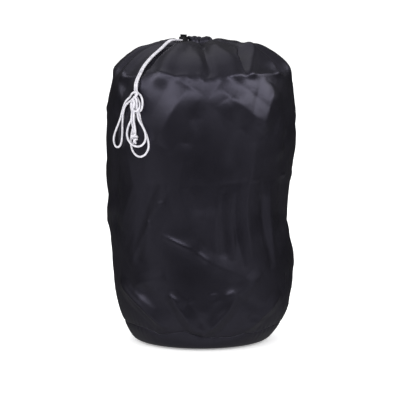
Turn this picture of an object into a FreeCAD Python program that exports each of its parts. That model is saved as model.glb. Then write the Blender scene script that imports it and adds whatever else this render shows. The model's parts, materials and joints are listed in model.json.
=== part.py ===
"""Round-bottomed nylon laundry bag, drawn shut by a white cord with a two-hole cord lock.

Millimetres, +Z up, origin in the middle of the flat the bag stands on, front towards -Y.
The bag stands full, but holds nothing: the panels are a hollow skin with an open throat.
"""
import FreeCAD, Part
import math
import os

from FreeCAD import Vector

# ---- driving dimensions -------------------------------------------------------------------
CHEST_RADIUS = 193.5        # widest part of the full bag: a 610 mm wide flat tube of cloth
NECK_HEIGHT = 599.0         # where the gathered skin meets the casing
BASE_RADIUS = 128.0         # flat that the full bag stands on
BASE_SEAM_RADIUS = 163.0
BASE_SEAM_HEIGHT = 43.0
SKIN = 1.5                  # one layer of cloth, thickened so that it packs as a solid
ALLOWANCE = 9.0             # seam allowance, turned inwards
THREAD = 0.8                # sewing thread's width
THREAD_PROUD = 0.6          # how far a row of stitches stands off the cloth
STITCH_INSET = 5.6          # from the seam's outer edge to its row of stitches

MOUTH_OFFSET = -8.0         # the gathers draw up a little left of the bag's axis
THROAT_RADIUS = 12.5
CASING_RADIUS = 30.0
CASING_SINK = 6.0           # casing's bottom below the neck
CASING_HEIGHT = 28.0
CASING_ROUNDING = 3.0
CASING_STITCH_RISE = 9.0    # channel's stitches above the casing's bottom
CHANNEL_FLOOR = 11.5        # cloth under the channel
CHANNEL_ROOF = 1.6          # cloth over it
THROAT_WALL = 3.0           # gathered cloth between throat and channel

CORD_DIAMETER = 4.0
CORD_GAP = 0.2              # between the two strands where they run side by side
CORD_WALL_GAP = 6.3         # cord's turn in the channel, in from the channel's outer wall
CORD_RING_FILLET = 5.0
EXIT_RISE = 13.0            # eyelet's centre above the neck
EXIT_BEARING = 225.0        # degrees: the cord leaves towards the front left
EXIT_CLIMB = 4.0            # degrees: how steeply the tight cord climbs from the eyelet

EYELET_CLEARANCE = 0.3      # round the pair of strands
EYELET_SHEET = 0.6
EYELET_BARREL_WALL = 0.5
EYELET_FLANGE_WIDTH = 2.1
EYELET_CURL_WIDTH = 0.9
EYELET_CLOTH = 1.5          # casing's cloth that the eyelet grips
EYELET_FLAT_DEPTH = 2.7     # flat cut into the casing's round
WASHER_WIDTH = 1.9
WASHER_SHEET = 0.5
FREE_CORD_LEAD = 1.7        # from the eyelet's flat to where the free strands begin

LOCK_START = 4.5            # from the free cord's start to the lock, along the cord
LOCK_DEPTH = 11.0
LOCK_WALL = 2.3             # beside the plunger
LOCK_ABOVE = 7.0            # barrel's top above the cord
LOCK_BELOW = 10.5
LOCK_ROUNDING = 2.5
LOCK_FLOOR = 1.3
LOCK_SLOT_CLEARANCE = 0.3   # above and below a strand
LOCK_SLOT_SIDE = 0.4        # beside the pair of strands
PLUNGER_WALL = 1.7          # beside its cord slot
PLUNGER_DEPTH = 7.8
PLUNGER_CLEARANCE = 0.08    # running clearance on each side
PLUNGER_TRAVEL = 3.0
PLUNGER_PROUD = 5.0
PLUNGER_BAR = 2.2           # under the plunger's cord slot
PLUNGER_GRIP = 0.05         # the pinched cord's gap to the plunger
PLUNGER_ROUNDING = 1.5
SPRING_WIRE = 0.6
SPRING_RADIUS = 2.9
SPRING_TURNS = 4
SPRING_POINTS_PER_TURN = 8
SPRING_SEAT_GAP = 0.05

KNOT_RADIUS = 201.0         # knot's centre, from the bag's axis
KNOT_BEARING = 229.5        # degrees
KNOT_HEIGHT = 498.0
KNOT_SIZE = (19.0, 34.0, 42.0)    # outwards, across and up
KNOT_ROUNDING = 4.0
END_KNOT_CENTRE = (0.0, 0.5, -68.0)
END_KNOT_SIZE = (11.0, 15.0, 15.0)
END_KNOT_ROUNDING = 3.5
TIP_LENGTH = 7.0
TIP_SPREAD = 3.2

# The full skin's outline above the seam: (share of CHEST_RADIUS, share of NECK_HEIGHT).
SIDE_OUTLINE = [
    (0.889, 0.114), (0.930, 0.167), (0.951, 0.237), (0.953, 0.317), (0.943, 0.442),
    (0.961, 0.546), (0.987, 0.648), (1.000, 0.710), (0.990, 0.771), (0.964, 0.833),
    (0.930, 0.890), (0.884, 0.917), (0.811, 0.935), (0.724, 0.952), (0.630, 0.967),
    (0.491, 0.982), (0.320, 0.992), (0.103, 1.000),
]
# The same for the bottom panel between its flat and the seam: (radius, height).
BASE_OUTLINE = [(BASE_RADIUS, 0.0), (138.0, 6.0), (151.0, 24.0), (BASE_SEAM_RADIUS, BASE_SEAM_HEIGHT)]

# Free strands from the taut stretch to the knot: bearing, distance from the axis, height.
STRAND_ROUTE = [(221.3, 87.6, 611.6), (222.0, 107.1, 598.0), (223.0, 131.0, 585.0),
                (225.3, 159.5, 567.5), (227.5, 179.5, 549.5), (229.0, 192.5, 538.5)]
TAUT_LENGTH = 41.4          # straight through the lock and as far as it slides
KNOT_LEAD = 12.0            # last straight run, down into the knot's top
KNOT_ENTRY_OUT = -4.2       # where the strands enter the knot, from its middle

# Loops and ends hanging from the knot: (outwards, across, up) from the knot's centre.
LOOP_LEFT = [
    (-3.0, -17.0, 10.0), (-6.0, -32.5, 8.0), (-10.5, -45.0, -8.0), (-12.5, -54.0, -32.0),
    (-16.5, -68.0, -57.0), (-19.5, -77.0, -78.0), (-16.5, -67.5, -94.0), (-11.5, -51.0, -92.0),
    (-8.5, -42.5, -73.0), (-8.0, -38.5, -48.0), (-9.5, -41.5, -23.0), (-9.0, -36.5, -6.0),
    (-5.0, -27.5, 2.5), (-3.0, -17.0, 3.0),
]
LOOP_OUTER = [
    (-4.0, 8.5, -21.0), (-5.0, 9.5, -36.0), (-5.5, 20.0, -52.0), (-6.0, 31.5, -70.0), (-7.5, 33.5, -90.0),
    (-7.0, 22.0, -107.0), (-6.0, 5.0, -112.0), (-5.5, -10.0, -102.0), (-5.0, -16.5, -83.0),
    (-4.5, -13.0, -61.0), (-4.5, -6.0, -41.0), (-4.0, -4.5, -21.0),
]
LOOP_INNER = [
    (-1.0, -10.0, -21.0), (-0.5, -14.0, -36.0), (-0.5, -24.0, -51.0), (0.0, -26.0, -70.0),
    (0.5, -15.0, -83.0), (1.0, 0.5, -88.5), (0.5, 15.0, -86.0), (0.0, 25.5, -74.0),
    (-0.5, 24.5, -57.0), (0.0, 13.5, -45.0), (0.0, 4.5, -35.0), (-0.5, 3.5, -21.0),
]
END_LEFT = [(4.2, -2.5, -21.0), (5.0, -3.5, -32.0), (3.0, -3.0, -43.0), (1.0, -1.7, -52.5), (0.5, -1.7, -60.5)]
END_RIGHT = [(4.2, 2.2, -21.0), (5.5, 2.0, -32.0), (3.5, 2.6, -42.5), (1.0, 2.7, -52.5), (0.5, 2.7, -60.5)]

ARC_SHARE = 0.45            # share of the shorter run that a bend takes up

# ---- sizes that follow from the driving dimensions ----------------------------------------
CASING_BOTTOM = NECK_HEIGHT - CASING_SINK
CASING_TOP = CASING_BOTTOM + CASING_HEIGHT
CASING_STITCH_HEIGHT = CASING_BOTTOM + CASING_STITCH_RISE
CHANNEL_BOTTOM = CASING_BOTTOM + CHANNEL_FLOOR
CHANNEL_TOP = CASING_TOP - CHANNEL_ROOF
EXIT_HEIGHT = NECK_HEIGHT + EXIT_RISE
EYELET_FACE = CASING_RADIUS - EYELET_FLAT_DEPTH
CHANNEL_INNER = THROAT_RADIUS + THROAT_WALL
CHANNEL_OUTER = EYELET_FACE - EYELET_CLOTH
CORD_SPACING = CORD_DIAMETER + CORD_GAP
CORD_RING_RADIUS = CHANNEL_OUTER - CORD_WALL_GAP
EYELET_HOLE = CORD_DIAMETER + CORD_GAP / 2 + EYELET_CLEARANCE
EYELET_BARREL = EYELET_HOLE + EYELET_BARREL_WALL
EYELET_FLANGE = EYELET_BARREL + EYELET_FLANGE_WIDTH
EYELET_CURL = EYELET_BARREL + EYELET_CURL_WIDTH
WASHER_RADIUS = EYELET_BARREL + WASHER_WIDTH
FREE_CORD_START = EYELET_FACE + FREE_CORD_LEAD
LOCK_SLOT_HEIGHT = CORD_DIAMETER + 2 * LOCK_SLOT_CLEARANCE
LOCK_SLOT_WIDTH = CORD_SPACING + CORD_DIAMETER + 2 * LOCK_SLOT_SIDE
PLUNGER_WIDTH = LOCK_SLOT_WIDTH + 2 * PLUNGER_WALL
LOCK_WIDTH = PLUNGER_WIDTH + 2 * LOCK_WALL
ORIGIN = Vector(0, 0, 0)
UP = Vector(0, 0, 1)
MOUTH = Vector(MOUTH_OFFSET, 0, 0)


# ---- small helpers ------------------------------------------------------------------------
def bearing_vector(degrees):
    """Level unit vector at a bearing, counted from +X towards +Y."""
    return Vector(math.cos(math.radians(degrees)), math.sin(math.radians(degrees)), 0)


def polar_point(degrees, radius, height):
    return bearing_vector(degrees) * radius + UP * height


def save(shape, node):
    """Write one node, after making sure that it is sound."""
    assert shape.isValid(), node
    shape.exportStep("parts/" + node + ".step")
    print(node, len(shape.Solids), round(shape.Volume, 1))


def frame_matrix(origin, outward, across, up):
    """Matrix from a local frame (outwards, across, up) to the bag's frame."""
    return FreeCAD.Matrix(outward.x, across.x, up.x, origin.x, outward.y, across.y, up.y, origin.y,
                          outward.z, across.z, up.z, origin.z, 0, 0, 0, 1)


def placed(shape, matrix):
    copy = shape.copy()
    copy.Placement = FreeCAD.Placement(matrix).multiply(copy.Placement)
    return copy


def centred_box(depth, width, low, high):
    """Box centred on X and Y, from low to high in Z."""
    return Part.makeBox(depth, width, high - low, Vector(-depth / 2, -width / 2, low))


def ring(inner, outer, low, high, axis_at=ORIGIN):
    """Plain tube about a vertical axis."""
    base = axis_at + UP * low
    return Part.makeCylinder(outer, high - low, base).cut(Part.makeCylinder(inner, high - low, base))


def rounded(shape, radius, picks):
    return shape.makeFillet(radius, [edge for edge in shape.Edges if picks(edge)])


# ---- skin ---------------------------------------------------------------------------------
def side_points():
    points = [Vector(CHEST_RADIUS * r, 0, NECK_HEIGHT * z) for r, z in SIDE_OUTLINE]
    return [Vector(BASE_SEAM_RADIUS, 0, BASE_SEAM_HEIGHT)] + points


def base_points():
    return [Vector(r, 0, z) for r, z in BASE_OUTLINE]


def inset_curve(points, inset):
    """Smooth curve through the points, moved inwards; its ends stay on their seam's level."""
    curve = Part.BSplineCurve()
    curve.interpolate(points)
    if inset == 0:
        return curve
    moved = []
    for point in points:
        along = curve.tangent(curve.parameter(point))[0]
        inward = Vector(-along.z, 0, along.x)
        moved.append(point + inward * inset)
    for end in (0, -1):
        at_seam = points[end].z == BASE_SEAM_HEIGHT
        level = inset if points[end].z == 0 else -inset
        moved[end] = points[end] + (Vector(-inset, 0, 0) if at_seam else Vector(0, 0, level))
    inner = Part.BSplineCurve()
    inner.interpolate(moved)
    return inner


def band_face(points, near, far):
    """Strip of the XZ plane between two insets of a curve."""
    first, second = inset_curve(points, near), inset_curve(points, far)
    edges = [first.toShape(), Part.makeLine(first.EndPoint, second.EndPoint),
             second.toShape(), Part.makeLine(second.StartPoint, first.StartPoint)]
    return Part.Face(Part.Wire(Part.__sortEdges__(edges)))


def side_allowance(sign, side):
    """Turned-in edge of one panel along one side seam, on the panel's own side of y = 0."""
    plate = band_face(side_points(), SKIN / 2, ALLOWANCE).extrude(Vector(0, sign * SKIN, 0))
    return plate if side > 0 else plate.mirror(ORIGIN, Vector(1, 0, 0))


def side_panel(sign):
    """Half of the side skin, from the bottom seam to the casing; sign -1 is the front."""
    skin = band_face(side_points(), 0, SKIN).revolve(ORIGIN, UP, 180.0 * sign)
    hem_width = ALLOWANCE - SKIN / 2
    hem_edge = Vector(BASE_SEAM_RADIUS - ALLOWANCE, 0, BASE_SEAM_HEIGHT)
    hem = Part.makePlane(hem_width, SKIN, hem_edge, Vector(0, -1, 0), Vector(1, 0, 0))
    hem = hem.revolve(ORIGIN, UP, 180.0 * sign)
    panel = skin.fuse([hem, side_allowance(sign, 1), side_allowance(sign, -1)])
    mouth = Part.makeCylinder(CASING_RADIUS, 2 * NECK_HEIGHT, MOUTH)
    return panel.cut(mouth)


def bottom_panel():
    """Round panel: flat where the bag stands, curling up to its seam and a turned-in edge."""
    outer, inner = inset_curve(base_points(), 0), inset_curve(base_points(), SKIN)
    edges = [Part.makeLine(ORIGIN, outer.StartPoint), outer.toShape(),
             Part.makeLine(outer.EndPoint, inner.EndPoint), inner.toShape(),
             Part.makeLine(inner.StartPoint, UP * SKIN), Part.makeLine(UP * SKIN, ORIGIN)]
    dish = Part.Face(Part.Wire(Part.__sortEdges__(edges))).revolve(ORIGIN, UP, 360)
    edge = ring(BASE_SEAM_RADIUS - ALLOWANCE, BASE_SEAM_RADIUS - SKIN / 2,
                BASE_SEAM_HEIGHT - SKIN, BASE_SEAM_HEIGHT)
    return dish.fuse(edge).removeSplitter()


def side_seam_thread(side):
    """Two rows of thread, one on each face of a side seam's doubled edge."""
    row = band_face(side_points()[:-2], STITCH_INSET, STITCH_INSET + THREAD)
    rows = []
    for sign in (-1, 1):
        strip = row.extrude(Vector(0, sign * THREAD_PROUD, 0))
        strip.translate(Vector(0, sign * SKIN, 0))
        rows.append(strip if side > 0 else strip.mirror(ORIGIN, Vector(1, 0, 0)))
    floor = ring(0.1, 2 * CHEST_RADIUS, 0, BASE_SEAM_HEIGHT + SKIN + THREAD_PROUD)
    return Part.makeCompound([strip.cut(floor) for strip in rows])


def bottom_seam_thread():
    """Needle thread above the doubled edge of the bottom seam and bobbin thread below it."""
    middle = BASE_SEAM_RADIUS - STITCH_INSET
    slit = 2 * (2 * SKIN + 2 * THREAD_PROUD)
    upper = ring(middle - THREAD, middle, BASE_SEAM_HEIGHT + SKIN, BASE_SEAM_HEIGHT + SKIN + THREAD_PROUD)
    lower = ring(middle - THREAD, middle, BASE_SEAM_HEIGHT - SKIN - THREAD_PROUD, BASE_SEAM_HEIGHT - SKIN)
    side_seams = Part.makeBox(4 * CHEST_RADIUS, slit, NECK_HEIGHT, Vector(-2 * CHEST_RADIUS, -slit / 2, 0))
    return Part.makeCompound([upper.cut(side_seams), lower])


# ---- mouth --------------------------------------------------------------------------------
def exit_frame():
    """Frame at the eyelet: straight out, across the strands, and up."""
    outward = bearing_vector(EXIT_BEARING)
    return frame_matrix(MOUTH + UP * EXIT_HEIGHT, outward, UP.cross(outward), UP)


def mouth_casing():
    """Gathered hem round the throat, with the cord's channel inside and a flat for the eyelet."""
    body = ring(THROAT_RADIUS, CASING_RADIUS, CASING_BOTTOM, CASING_TOP, MOUTH)
    body = rounded(body, CASING_ROUNDING, lambda edge: abs(edge.BoundBox.ZMin - CASING_TOP) < SKIN / 2
                   and edge.BoundBox.ZLength < SKIN)
    channel = ring(CHANNEL_INNER, CHANNEL_OUTER, CHANNEL_BOTTOM, CHANNEL_TOP, MOUTH)
    reach = CHANNEL_TOP - EXIT_HEIGHT
    pocket = Part.makeBox(CHANNEL_OUTER - CORD_RING_RADIUS, 2 * reach, 2 * reach,
                          Vector(CORD_RING_RADIUS, -reach, -reach))
    flat = Part.makeBox(CASING_RADIUS, 2 * CASING_RADIUS, CASING_TOP - EXIT_HEIGHT + reach,
                        Vector(EYELET_FACE, -CASING_RADIUS, -reach))
    hole = Part.makeCylinder(EYELET_BARREL, CASING_RADIUS, Vector(CORD_RING_RADIUS, 0, 0), Vector(1, 0, 0))
    cutters = [placed(shape, exit_frame()) for shape in (pocket, flat, hole)]
    return body.cut([channel] + cutters)


def casing_thread():
    """Row of stitches that closes the channel, round the outside of the casing."""
    return ring(CASING_RADIUS, CASING_RADIUS + THREAD_PROUD,
                CASING_STITCH_HEIGHT, CASING_STITCH_HEIGHT + THREAD, MOUTH)


def eyelet_disc(inner, outer, start, end):
    """Flat ring about the eyelet's axis, between two distances from the mouth's axis."""
    solid = Part.makeCylinder(outer, end - start, Vector(start, 0, 0), Vector(1, 0, 0))
    return solid.cut(Part.makeCylinder(inner, end - start, Vector(start, 0, 0), Vector(1, 0, 0)))


def eyelet():
    washer_face = CHANNEL_OUTER - WASHER_SHEET
    flange = eyelet_disc(EYELET_HOLE, EYELET_FLANGE, EYELET_FACE, EYELET_FACE + EYELET_SHEET)
    barrel = eyelet_disc(EYELET_HOLE, EYELET_BARREL, washer_face, EYELET_FACE)
    curl = eyelet_disc(EYELET_HOLE, EYELET_CURL, washer_face - EYELET_SHEET, washer_face)
    return placed(flange.fuse([barrel, curl]).removeSplitter(), exit_frame())


def eyelet_washer():
    washer = eyelet_disc(EYELET_BARREL, WASHER_RADIUS, CHANNEL_OUTER - WASHER_SHEET, CHANNEL_OUTER)
    return placed(washer, exit_frame())


# ---- cord ---------------------------------------------------------------------------------
def tube(edges):
    """Round cord along tangent edges, checked against its section times its length."""
    path = Part.Wire(edges)
    start, along = edges[0].valueAt(edges[0].FirstParameter), edges[0].tangentAt(edges[0].FirstParameter)
    section = Part.Wire(Part.makeCircle(CORD_DIAMETER / 2, start, along))
    solid = path.makePipeShell([section], True, False)
    expected = math.pi * CORD_DIAMETER ** 2 / 4 * path.Length
    assert abs(solid.Volume / expected - 1) < 0.01, (solid.Volume, expected)
    return solid, path.Length


def bend_edges(points, name):
    """Straight runs joined by tangent arcs, each as large as its two runs allow."""
    edges, radii, start = [], [], points[0]
    for before, corner, after in zip(points, points[1:], points[2:]):
        back, ahead = (before - corner), (after - corner)
        cut = ARC_SHARE * min(back.Length, ahead.Length)
        half_turn = (math.pi - back.getAngle(ahead)) / 2
        radius = cut / math.tan(half_turn)
        radii.append(round(radius, 1))
        back.normalize()
        ahead.normalize()
        inward = (back + ahead).normalize()
        middle = corner + inward * (radius / math.cos(half_turn) - radius)
        arc_start, arc_end = corner + back * cut, corner + ahead * cut
        edges.append(Part.LineSegment(start, arc_start).toShape())
        edges.append(Part.Arc(arc_start, middle, arc_end).toShape())
        start = arc_end
    edges.append(Part.LineSegment(start, points[-1]).toShape())
    print(name, "bend radii", radii)
    return edges


def cord_tube(points, name):
    solid, length = tube(bend_edges(points, name))
    print(name, "length", round(length, 1))
    return solid


def cord_in_casing():
    """The cord's turn round the channel, both ends coming out side by side through the eyelet."""
    side, fillet, turn = CORD_SPACING / 2, CORD_RING_FILLET, CORD_RING_RADIUS
    centre_out = math.sqrt((turn + fillet) ** 2 - (side + fillet) ** 2)
    meet = math.atan2(side + fillet, centre_out)
    swing = (math.pi / 2 - meet) / 2

    def local(across, outward):
        return exit_frame().multVec(Vector(outward, across, 0))

    def half(sign):
        start, bend = local(sign * side, FREE_CORD_START), local(sign * side, centre_out)
        centre = (sign * (side + fillet), centre_out)
        middle = local(centre[0] - sign * fillet * math.cos(swing), centre[1] - fillet * math.sin(swing))
        joined = local(sign * turn * math.sin(meet), turn * math.cos(meet))
        return start, bend, middle, joined

    right, left = half(1), half(-1)
    edges = [Part.LineSegment(right[0], right[1]).toShape(), Part.Arc(*right[1:]).toShape(),
             Part.Arc(right[3], local(0, -turn), left[3]).toShape(),
             Part.Arc(left[3], left[2], left[1]).toShape(), Part.LineSegment(left[1], left[0]).toShape()]
    solid, length = tube(edges)
    print("cord_in_casing length", round(length, 1))
    return solid


def knot_frame():
    outward = bearing_vector(KNOT_BEARING)
    return frame_matrix(polar_point(KNOT_BEARING, KNOT_RADIUS, KNOT_HEIGHT), outward, UP.cross(outward), UP)


def knot_points(points):
    return [knot_frame().multVec(Vector(*point)) for point in points]


def taut_direction():
    climb = math.radians(EXIT_CLIMB)
    return bearing_vector(EXIT_BEARING) * math.cos(climb) + UP * math.sin(climb)


def free_strand(sign):
    """Points of one strand, from the eyelet through the lock and over the shoulder to the knot."""
    start = exit_frame().multVec(Vector(FREE_CORD_START, sign * CORD_SPACING / 2, 0))
    points = [start, start + taut_direction() * TAUT_LENGTH]
    for bearing, radius, height in STRAND_ROUTE:
        side = UP.cross(bearing_vector(bearing)) * (sign * CORD_SPACING / 2)
        points.append(polar_point(bearing, radius, height) + side)
    top = KNOT_SIZE[2] / 2
    entry = [(KNOT_ENTRY_OUT, sign * CORD_SPACING / 2, up) for up in (top + KNOT_LEAD, top)]
    return points + knot_points(entry)


def knot_body(size, centre, rounding):
    """Outer shape of a pulled-up knot."""
    block = Part.makeBox(*size, Vector(*centre) - Vector(*size) / 2)
    return placed(block.makeFillet(rounding, block.Edges), knot_frame())


def cord_tip(sign):
    """Heat-sealed end below the end knot."""
    bottom = END_KNOT_CENTRE[2] - END_KNOT_SIZE[2] / 2
    start = Vector(END_KNOT_CENTRE[0], END_KNOT_CENTRE[1] + sign * TIP_SPREAD, bottom)
    tip = Part.makeCylinder(CORD_DIAMETER / 2, TIP_LENGTH, start, Vector(0, 0, -1))
    return placed(tip, knot_frame())


# ---- cord lock ----------------------------------------------------------------------------
def lock_frame():
    """Frame in the lock's middle: along the taut cord, across the strands, and square to both."""
    along = taut_direction()
    across = UP.cross(bearing_vector(EXIT_BEARING))
    start = exit_frame().multVec(Vector(FREE_CORD_START, 0, 0))
    return frame_matrix(start + along * (LOCK_START + LOCK_DEPTH / 2), along, across, along.cross(across))


def upright(edge):
    return edge.BoundBox.XLength + edge.BoundBox.YLength < SPRING_SEAT_GAP


def lock_barrel():
    """Moulded body with a well for the plunger and a slot for the two strands."""
    body = centred_box(LOCK_DEPTH, LOCK_WIDTH, -LOCK_BELOW, LOCK_ABOVE)
    body = rounded(body, LOCK_ROUNDING, upright)
    slack = 2 * PLUNGER_CLEARANCE
    well = centred_box(PLUNGER_DEPTH + slack, PLUNGER_WIDTH + slack, LOCK_FLOOR - LOCK_BELOW, LOCK_ABOVE)
    well = rounded(well, PLUNGER_ROUNDING, upright)
    slot = centred_box(LOCK_DEPTH, LOCK_SLOT_WIDTH, -LOCK_SLOT_HEIGHT / 2, LOCK_SLOT_HEIGHT / 2)
    return placed(body.cut([well, slot]), lock_frame())


def plunger_slot_bottom():
    return -CORD_DIAMETER / 2 - PLUNGER_GRIP


def lock_plunger():
    """Sliding core: its slot stands one travel high, so that the spring pinches the strands."""
    low = plunger_slot_bottom()
    body = centred_box(PLUNGER_DEPTH, PLUNGER_WIDTH, low - PLUNGER_BAR, LOCK_ABOVE + PLUNGER_PROUD)
    body = rounded(body, PLUNGER_ROUNDING, upright)
    slot = centred_box(PLUNGER_DEPTH, LOCK_SLOT_WIDTH, low, -low + PLUNGER_TRAVEL)
    return placed(body.cut(slot), lock_frame())


def coil_rail(height):
    """Centreline of the spring's wire, from z = 0 up to the height given."""
    steps = SPRING_TURNS * SPRING_POINTS_PER_TURN
    points = []
    for i in range(steps + 1):
        turn = 2 * math.pi * i / SPRING_POINTS_PER_TURN
        points.append(
            Vector(SPRING_RADIUS * math.cos(turn), SPRING_RADIUS * math.sin(turn), height * i / steps)
        )
    rail = Part.BSplineCurve()
    rail.interpolate(points)
    return rail.toShape()


def lock_spring():
    """Compression spring between the well's floor and the plunger."""
    low = LOCK_FLOOR - LOCK_BELOW + SPRING_WIRE / 2 + SPRING_SEAT_GAP
    high = plunger_slot_bottom() - PLUNGER_BAR - SPRING_WIRE / 2 - SPRING_SEAT_GAP
    rail = coil_rail(high - low)
    along = rail.tangentAt(rail.FirstParameter)
    section = Part.Wire(Part.makeCircle(SPRING_WIRE / 2, Vector(SPRING_RADIUS, 0, 0), along))
    coil = Part.Wire(rail).makePipeShell([section], True, True)
    coil.translate(Vector(0, 0, low))
    return placed(coil, lock_frame())


def main():
    os.makedirs("parts", exist_ok=True)
    nodes = {
        "front_panel": side_panel(-1),
        "back_panel": side_panel(1),
        "bottom_panel": bottom_panel(),
        "side_seam_thread_left": side_seam_thread(-1),
        "side_seam_thread_right": side_seam_thread(1),
        "bottom_seam_thread": bottom_seam_thread(),
        "mouth_casing": mouth_casing(),
        "casing_thread": casing_thread(),
        "eyelet": eyelet(),
        "eyelet_washer": eyelet_washer(),
        "cord_in_casing": cord_in_casing(),
        "cord_strand_left": cord_tube(free_strand(-1), "cord_strand_left"),
        "cord_strand_right": cord_tube(free_strand(1), "cord_strand_right"),
        "cord_main_knot": knot_body(KNOT_SIZE, (0, 0, 0), KNOT_ROUNDING),
        "cord_loop_left": cord_tube(knot_points(LOOP_LEFT), "cord_loop_left"),
        "cord_loop_outer": cord_tube(knot_points(LOOP_OUTER), "cord_loop_outer"),
        "cord_loop_inner": cord_tube(knot_points(LOOP_INNER), "cord_loop_inner"),
        "cord_end_left": cord_tube(knot_points(END_LEFT), "cord_end_left"),
        "cord_end_right": cord_tube(knot_points(END_RIGHT), "cord_end_right"),
        "cord_end_knot": knot_body(END_KNOT_SIZE, END_KNOT_CENTRE, END_KNOT_ROUNDING),
        "cord_tip_left": cord_tip(-1),
        "cord_tip_right": cord_tip(1),
        "lock_barrel": lock_barrel(),
        "lock_plunger": lock_plunger(),
        "lock_spring": lock_spring(),
    }
    for node, shape in nodes.items():
        save(shape, node)


main()
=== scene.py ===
"""Looks of a round-bottomed nylon laundry bag, drawn shut by a knotted white cord with a cord lock.

Metres, +Z up, front towards -Y. A turn is degrees round the bag from its front, positive to the
viewer's right. A run is the distance up the bag's outline, from the middle of its bottom.
"""

import json
import logging
import math
from dataclasses import dataclass, field
from enum import Enum
from typing import Optional, Sequence

import bpy
import numpy as np
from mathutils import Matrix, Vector
from mathutils.kdtree import KDTree

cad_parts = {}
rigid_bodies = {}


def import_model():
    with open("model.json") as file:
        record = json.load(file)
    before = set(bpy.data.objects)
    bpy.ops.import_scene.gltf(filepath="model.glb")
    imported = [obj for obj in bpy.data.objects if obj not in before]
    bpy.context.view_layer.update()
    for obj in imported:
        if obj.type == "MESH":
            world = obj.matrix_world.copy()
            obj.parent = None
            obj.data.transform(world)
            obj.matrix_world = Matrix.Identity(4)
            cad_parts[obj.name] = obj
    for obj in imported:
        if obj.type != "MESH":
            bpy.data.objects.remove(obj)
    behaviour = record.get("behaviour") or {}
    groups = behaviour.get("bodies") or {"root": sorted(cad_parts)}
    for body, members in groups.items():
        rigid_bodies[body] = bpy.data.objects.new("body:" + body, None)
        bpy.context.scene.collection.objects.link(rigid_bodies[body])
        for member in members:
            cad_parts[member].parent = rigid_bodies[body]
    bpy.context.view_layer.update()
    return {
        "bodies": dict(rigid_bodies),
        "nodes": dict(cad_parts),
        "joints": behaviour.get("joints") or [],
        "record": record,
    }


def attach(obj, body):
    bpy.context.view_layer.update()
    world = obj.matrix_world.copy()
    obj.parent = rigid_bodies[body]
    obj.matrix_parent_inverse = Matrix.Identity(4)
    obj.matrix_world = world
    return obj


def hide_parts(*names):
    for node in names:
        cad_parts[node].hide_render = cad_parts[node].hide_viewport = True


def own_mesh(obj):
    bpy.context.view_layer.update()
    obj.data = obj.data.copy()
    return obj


LOG = logging.getLogger("laundry_bag")
MM = 0.001
Point = tuple[float, float, float]
Links = Optional[dict]

MOUTH: Point = (-0.008, 0.0, 0.0)   # the gathers draw up a little left of the bag's axis
EXIT_BEARING = 225.0                # degrees from +X: where the cord leaves the mouth
EXIT_HEIGHT = 0.612
CLOTH = 0.5 * MM
CHEST_RADIUS = 0.194


# ---- shared helpers -----------------------------------------------------------------------
def linear(hex_colour: str) -> tuple[float, float, float, float]:
    """Turn an sRGB hex colour into linear RGBA.

    Args:
        hex_colour: six hex digits, such as "1a1a20".

    Returns:
        Red, green, blue and alpha, linear.
    """
    parts = [int(hex_colour[i:i + 2], 16) / 255 for i in (0, 2, 4)]
    low = [c / 12.92 if c <= 0.04045 else ((c + 0.055) / 1.055) ** 2.4 for c in parts]
    return (low[0], low[1], low[2], 1.0)


def add_node(tree: bpy.types.NodeTree, kind: str, inputs: Links = None, **settings: object) -> bpy.types.Node:
    """Add a shader node with its settings, values and links.

    Args:
        tree: the node tree.
        kind: the node's type without its "ShaderNode", such as "TexNoise".
        inputs: socket name or index to a value, or to an output socket that feeds it.
        settings: attributes of the node.

    Returns:
        The new node.
    """
    node = tree.nodes.new("ShaderNode" + kind)
    for name, value in settings.items():
        setattr(node, name, value)
    for key, value in (inputs or {}).items():
        if isinstance(value, bpy.types.NodeSocket):
            tree.links.new(value, node.inputs[key])
        else:
            node.inputs[key].default_value = value
    return node


def new_material(name: str) -> tuple[bpy.types.Material, bpy.types.NodeTree, bpy.types.Node]:
    """Make a node material.

    Args:
        name: the material's name.

    Returns:
        The material, its tree and its principled shader.
    """
    material = bpy.data.materials.new(name)
    material.use_nodes = True
    tree = material.node_tree
    return material, tree, tree.nodes["Principled BSDF"]


def ease(x: np.ndarray, low: float, high: float) -> np.ndarray:
    """Ease from 0 at low to 1 at high.

    Args:
        x: places.
        low: where it starts.
        high: where it ends.

    Returns:
        Shares from 0 to 1, of the same shape.
    """
    t = np.clip((x - low) / (high - low), 0.0, 1.0)
    return t * t * (3 - 2 * t)


def wrapped(degrees: np.ndarray) -> np.ndarray:
    """Bring turns into -180 to 180."""
    return (degrees + 180) % 360 - 180


def add_mesh(name: str, vertices: np.ndarray, faces: Sequence[Sequence[int]],
             material: Optional[bpy.types.Material] = None,
             uv: Optional[np.ndarray] = None) -> bpy.types.Object:
    """Make a smooth mesh object from arrays.

    Args:
        name: the piece's name.
        vertices: n by 3 points in metres.
        faces: corner indices of each face.
        material: its material.
        uv: a texture place for each vertex, in metres of cloth or cord.

    Returns:
        The linked object.
    """
    mesh = bpy.data.meshes.new(name)
    mesh.from_pydata(np.asarray(vertices, float).tolist(), [], [list(map(int, f)) for f in faces])
    mesh.update()
    mesh.polygons.foreach_set("use_smooth", [True] * len(mesh.polygons))
    if uv is not None:
        corners = np.zeros(len(mesh.loops), int)
        mesh.loops.foreach_get("vertex_index", corners)
        mesh.uv_layers.new(name="flat").data.foreach_set("uv", np.asarray(uv, float)[corners].ravel())
    if material:
        mesh.materials.append(material)
    obj = bpy.data.objects.new(name, mesh)
    bpy.context.scene.collection.objects.link(obj)
    return obj


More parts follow.
